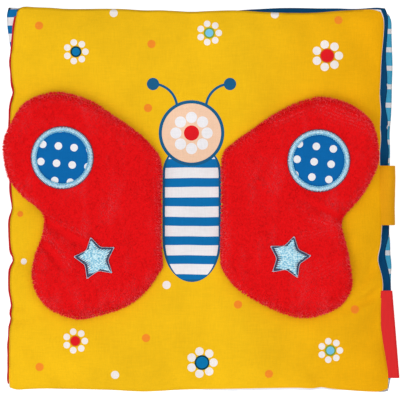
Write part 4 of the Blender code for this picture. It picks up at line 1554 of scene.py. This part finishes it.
def make_wings():
    skin, pile = plush_base("plush_ground"), plush_pile("plush_pile")
    backing = cotton("cotton_wing_backing",
                     paint_dots(CLOTH_RED, (WHITE, PALE_BLUE), spacing=18 * MM, radius=1.6 * MM))
    satin = thread("rayon_pale_blue", SATIN, SATIN_SHADE)
    fill = thread("rayon_star_blue", STAR_BLUE, STAR_SHADE, 0.8 * MM)
    pale = thread("rayon_star_grey", STAR_PALE, SATIN_SHADE)
    dark = thread("rayon_slate", SLATE, SLATE_SHADE)
    bright = thread("rayon_sky_blue", RING_BLUE, RING_BLUE_SHADE)
    for seed, wing, patch, rows, (star, lean) in (
            (1, Wing("left", LEFT_OUTLINE, LEFT_CORNERS, LEFT_FOLDS, LEFT_BRUSHES_AND_HIGHLIGHTS, LEFT_HINGE),
             LEFT_PATCH, LEFT_DOT_ROWS, LEFT_STAR),
            (2, Wing("right", RIGHT_OUTLINE, RIGHT_CORNERS, RIGHT_FOLDS, RIGHT_BRUSHES_AND_HIGHLIGHTS,
                     RIGHT_HINGE),
             RIGHT_PATCH, RIGHT_DOT_ROWS, RIGHT_STAR)):
        dots = cotton(f"cotton_polka_dots_{wing.side}", paint_patch(*rows))
        patch_middle = np.array(at(*patch))
        star_line = rounded_star(np.array(at(*star)), lean, 0.0)

        def covered(spots):
            on_patch = np.linalg.norm(spots - patch_middle, axis=1) < PATCH_KEEP_CLEAR
            return on_patch | (inside_distance(spots, star_line) > -STAR_KEEP_CLEAR)
        make_wing(wing, covered, seed, skin, backing, pile)
        make_patch(wing, patch, (dots, satin, dark, bright))
        make_star(wing, star, lean, (fill, dark, pale))


# Strap, label, spine strip and tapes

STRAP_THICK = 0.9 * MM
STRAP_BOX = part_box("closure_strap_side")
STRAP_X = (STRAP_BOX[0].x + STRAP_BOX[1].x) / 2
STRAP_Y = (STRAP_BOX[0].y + STRAP_BOX[1].y) / 2
STRAP_WIDTH = STRAP_BOX[1].y - STRAP_BOX[0].y
STRAP_END_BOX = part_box("closure_strap_end")
STRAP_LOW = (STRAP_END_BOX[0].z + STRAP_END_BOX[1].z) / 2
STRAP_TIP_X = STRAP_END_BOX[0].x
STRAP_MIDDLE_Z = (FRONT_SEAM + STRAP_LOW) / 2
# How unevenly the strap's edges run: over how long a patch, and how far
CRUMPLE_PATCH, CRUMPLE_DEPTH = 9 * MM, 0.45 * MM
STRAP_ROOT_PIXEL = 376.5
BAND_STEPS = 36
# How much of a strip's thickness its rounded edges take
BAND_ROUNDING = 0.35
STRAP_CELLS = 10
# What each half of the strap is made longer by before both are cut to meet
STRAP_SPARE = 3 * MM
STRAP_OFF_FLOOR = 0.03 * MM


def band(name, path, low_y, high_y, thick, across_cells, material):
    """A strip of doubled cloth that follows a path of X and Z places."""
    line = evenly(path, BAND_STEPS + 1)
    free_all()
    bpy.ops.mesh.primitive_grid_add(x_subdivisions=BAND_STEPS, y_subdivisions=across_cells,
                                    size=1.0)
    made = bpy.context.object
    places = get_places(made)
    i = np.rint((places[:, 0] + 0.5) * BAND_STEPS).astype(int)
    v = places[:, 1] + 0.5
    middle, half = (low_y + high_y) / 2, (high_y - low_y) / 2
    y = middle + half * (2 * v - 1)
    set_places(made, np.stack([line[i, 0], y, line[i, 1]], 1))
    wall = made.modifiers.new("wall", "SOLIDIFY")
    wall.thickness = thick
    wall.offset = 0.0
    edge = made.modifiers.new("edge", "BEVEL")
    edge.width = thick * BAND_ROUNDING
    edge.segments = 3
    edge.limit_method = "ANGLE"
    edge.angle_limit = SHARP_EDGE
    apply_modifiers(made)
    edit_all(made, bpy.ops.mesh.normals_make_consistent, inside=False)
    shade_by_angle(made)
    made.name = name
    made.data.materials.append(material)
    settle(made)
    return made


def keep_part(obj, level, side):
    """Cuts a strip straight across at a level and keeps what lies above (1) or below (-1)."""
    edit_all(obj, bpy.ops.mesh.bisect, plane_co=(0, 0, level), plane_no=(0, 0, side),
             use_fill=True, clear_inner=True)
    shade_by_angle(obj)


def crumple(obj, size, depth):
    """Lets the edges of a strip of cloth wander a little."""
    places = get_places(obj)
    places[:, 0] += depth * soft_noise(places[:, [1, 2]], size, seed=2.0)
    places[:, 1] += depth * soft_noise(places[:, [0, 2]], size, seed=8.0)
    places[:, 2] = np.maximum(places[:, 2], cad_low.z + STRAP_OFF_FLOOR)
    set_places(obj, places)


def make_strap():
    # The strap's cloth is the cover's yellow, painted darker as shade for its tilt
    strap_cotton = cotton("cotton_strap", paint_plain(STRAP_YELLOW_PAINTED_SHADE))
    low_y, high_y = STRAP_Y - STRAP_WIDTH / 2, STRAP_Y + STRAP_WIDTH / 2
    x, z = STRAP_X, FRONT_SEAM
    root_x = at(STRAP_ROOT_PIXEL, 0)[0]
    upper = [(root_x, z - 0.5 * MM), (x - 4.6 * MM, z - 0.2 * MM), (x - 1.8 * MM, z - 0.3 * MM),
             (x - 0.3 * MM, z - 2.0 * MM), (x, z - 4.5 * MM), (x, STRAP_MIDDLE_Z - STRAP_SPARE)]
    lower = [(x, STRAP_MIDDLE_Z + STRAP_SPARE), (x, STRAP_LOW + 3.5 * MM),
             (x - 0.35 * MM, STRAP_LOW + 1.4 * MM),
             (x - 1.5 * MM, STRAP_LOW + 0.3 * MM), (x - 4 * MM, STRAP_LOW),
             (STRAP_TIP_X, STRAP_LOW)]
    shape = (low_y, high_y, STRAP_THICK, STRAP_CELLS, strap_cotton)
    root = band("closure_strap_upper", upper, *shape)
    keep_part(root, STRAP_MIDDLE_Z, 1)
    crumple(root, CRUMPLE_PATCH, CRUMPLE_DEPTH)
    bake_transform(root)
    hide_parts("closure_strap_root", "closure_strap_side")
    end = band("closure_strap_lower", lower, *shape)
    keep_part(end, STRAP_MIDDLE_Z, -1)
    crumple(end, CRUMPLE_PATCH, CRUMPLE_DEPTH)
    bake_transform(end)
    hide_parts("closure_strap_end")


# The label's inner and outer edges in pixels, at its top and at its foot
LABEL_INNER = (379.8, 387.6)
LABEL_OUTER = (393.2, 400.4)
LABEL_TUCK = 2.6 * MM
LABEL_DROP = 0.35 * MM
# How far each half of the folded ribbon lies from its middle
LABEL_GAP = 0.45 * MM
LABEL_THICK = 0.3 * MM
LABEL_CELLS = 24


def make_label():
    ribbon = ribbon_satin("ribbon_red")
    low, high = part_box("side_label")
    z = (low.z + high.z) / 2 - LABEL_DROP
    inner = at(LABEL_INNER[0], 0)[0] - LABEL_TUCK
    outer = at(LABEL_OUTER[0], 0)[0]
    half = [(inner, 0.4), (inner + LABEL_TUCK, 0.5), (outer - 2.4 * MM, 1.0),
            (outer - 0.8 * MM, 1.0)]
    path = [*((x, z + LABEL_GAP * share) for x, share in half), (outer - 0.25 * MM, z),
            *((x, z - LABEL_GAP * share) for x, share in reversed(half))]
    label = band("side_label_loop", path, low.y, high.y, LABEL_THICK, LABEL_CELLS, ribbon)
    places = get_places(label)
    down = (high.y - places[:, 1]) / (high.y - low.y)
    out = np.clip((places[:, 0] - inner) / (outer - inner), 0, 1)
    places[:, 0] += PIXEL * down * ((1 - out) * (LABEL_INNER[1] - LABEL_INNER[0])
                                    + out * (LABEL_OUTER[1] - LABEL_OUTER[0]))
    set_places(label, places)
    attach(label, "front_cover")
    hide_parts("side_label")


# How far the spine cloth is tucked under the covers' edges, and how unevenly
SPINE_TUCK = 0.6 * MM
SPINE_WANDER = 0.5 * MM
SPINE_WANDER_PATCH = 9 * MM
SPINE_THICK = 0.5 * MM
SPINE_CELLS = 90
# How far it goes past the solid's ends, and how far the back may stand out, in pixels
SPINE_PAST = 3 * MM
BACK_PAST_FRONT = 1.5
# How many places the covers' edges are read at
EDGE_PLACES = 200


def make_spine():
    """The spine cloth, which wraps both covers' edges and follows their waves."""
    low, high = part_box("spine_strip")
    top_y, foot_y = high.y + SPINE_PAST, low.y - SPINE_PAST
    red = cotton("cotton_spine_red", paint_plain(CLOTH_RED))
    path = [(0.0, BACK_SEAM - 0.3 * MM), (-1.0 * MM, BACK_SEAM + 1.0 * MM),
            (-1.3 * MM, BACK_SEAM + 4 * MM), (-1.3 * MM, (BACK_SEAM + FRONT_SEAM) / 2),
            (-1.3 * MM, FRONT_SEAM - 3.5 * MM), (-1.1 * MM, FRONT_SEAM - 1.4 * MM),
            (-0.4 * MM, FRONT_SEAM - 0.5 * MM)]
    strip = band("spine_cloth", path, foot_y, top_y, SPINE_THICK, SPINE_CELLS, red)
    places = get_places(strip)
    front = evenly(COVER_SIDES[0], EDGE_PLACES)
    back = evenly(seen_at(BACK_LEFT, BACK_SEAM), EDGE_PLACES)
    down = COVER_MIDDLE_PIXEL[1] - places[:, 1] / PIXEL
    back[:, 0] = np.maximum(back[:, 0], front[:, 0] - BACK_PAST_FRONT)
    front_x, back_x = (at(np.interp(down, edge[:, 1], edge[:, 0]), 0)[0] for edge in (front, back))
    up = np.clip((places[:, 2] - BACK_SEAM) / (FRONT_SEAM - BACK_SEAM), 0, 1)
    share = up * up * (3 - 2 * up)
    wander = SPINE_WANDER * soft_noise(places[:, [1, 1]], SPINE_WANDER_PATCH, seed=6.0)
    places[:, 0] += (1 - share) * back_x + share * front_x + SPINE_TUCK + wander
    set_places(strip, places)
    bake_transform(strip)
    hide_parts("spine_strip")


def dress_tapes():
    finish = tape("nylon_tape")
    for node in ("hook_tape", "loop_tape"):
        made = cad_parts[node]
        made.data.materials.clear()
        made.data.materials.append(finish)


# Camera, floor and light

SENSOR = 36.0
FAR_CLIP = 20
FLOOR_SIZE = 8
FLOOR_DROP = 0.05 * MM
# Each lamp's name, place, width in metres, and what it adds to a flat white page
LAMPS = (("side_lamp", Vector((-1.15, -1.1, 1.9)), 1.6, 0.30),
         ("upper_lamp", Vector((0.6, 0.6, 2.2)), 2.4, 0.28))
WORLD_LEVEL = 0.48
FLOOR_GLOW = 0.66
BACKGROUND_WHITE = (1.0, 1.0, 1.0, 1.0)


def make_camera():
    data = bpy.data.cameras.new("camera")
    camera = new_object("camera", data)
    x, y = at(PICTURE_PIXELS / 2, PICTURE_PIXELS / 2)
    camera.location = (x, y, COVER_TOP + CAMERA_RISE)
    data.sensor_width = SENSOR
    data.lens = SENSOR * CAMERA_RISE / (PICTURE_PIXELS * PIXEL)
    data.clip_end = FAR_CLIP
    bpy.context.scene.camera = camera


def seen_directly(tree):
    """1 for the camera and for what shows the backdrop in a gloss or through a gap."""
    path = add(tree, "LightPath").outputs
    return either(tree, path["Is Camera Ray"], path["Is Glossy Ray"],
                  path["Is Transmission Ray"])


def make_floor():
    free_all()
    bpy.ops.mesh.primitive_plane_add(size=FLOOR_SIZE, location=(0, 0, cad_low.z - FLOOR_DROP))
    floor = bpy.context.object
    floor.name = "floor"
    settle(floor)
    material = bpy.data.materials.new("paper_backdrop")
    material.use_nodes = True
    tree = material.node_tree
    tree.nodes.clear()
    glow_level = both(tree, seen_directly(tree), FLOOR_GLOW)
    paper = add(tree, "BsdfDiffuse", (FLOOR_WHITE,))
    glow = add(tree, "Emission", (FLOOR_WHITE, glow_level))
    add(tree, "OutputMaterial", (add(tree, "AddShader", (paper, glow)),))
    floor.data.materials.append(material)


def make_light():
    world = bpy.data.worlds.new("studio")
    bpy.context.scene.world = world
    world.use_nodes = True
    tree = world.node_tree
    tree.nodes.clear()
    level = add(tree, "MapRange", (seen_directly(tree), 0.0, 1.0, WORLD_LEVEL, 1.0))
    add(tree, "OutputWorld", (add(tree, "Background", (BACKGROUND_WHITE, level)),))
    for name, place, size, brightness in LAMPS:
        data = bpy.data.lights.new(name, "AREA")
        data.size = size
        distance = place.length
        slant = place.z / distance
        data.energy = brightness * math.pi ** 2 * distance ** 2 / slant
        lamp = new_object(name, data)
        lamp.location = place
        lamp.rotation_euler = (-place).to_track_quat("-Z", "Y").to_euler()
    bpy.context.scene.view_settings.view_transform = "Standard"


make_camera()
make_floor()
make_light()
make_covers()
make_wings()
make_strap()
make_label()
make_spine()
dress_tapes()
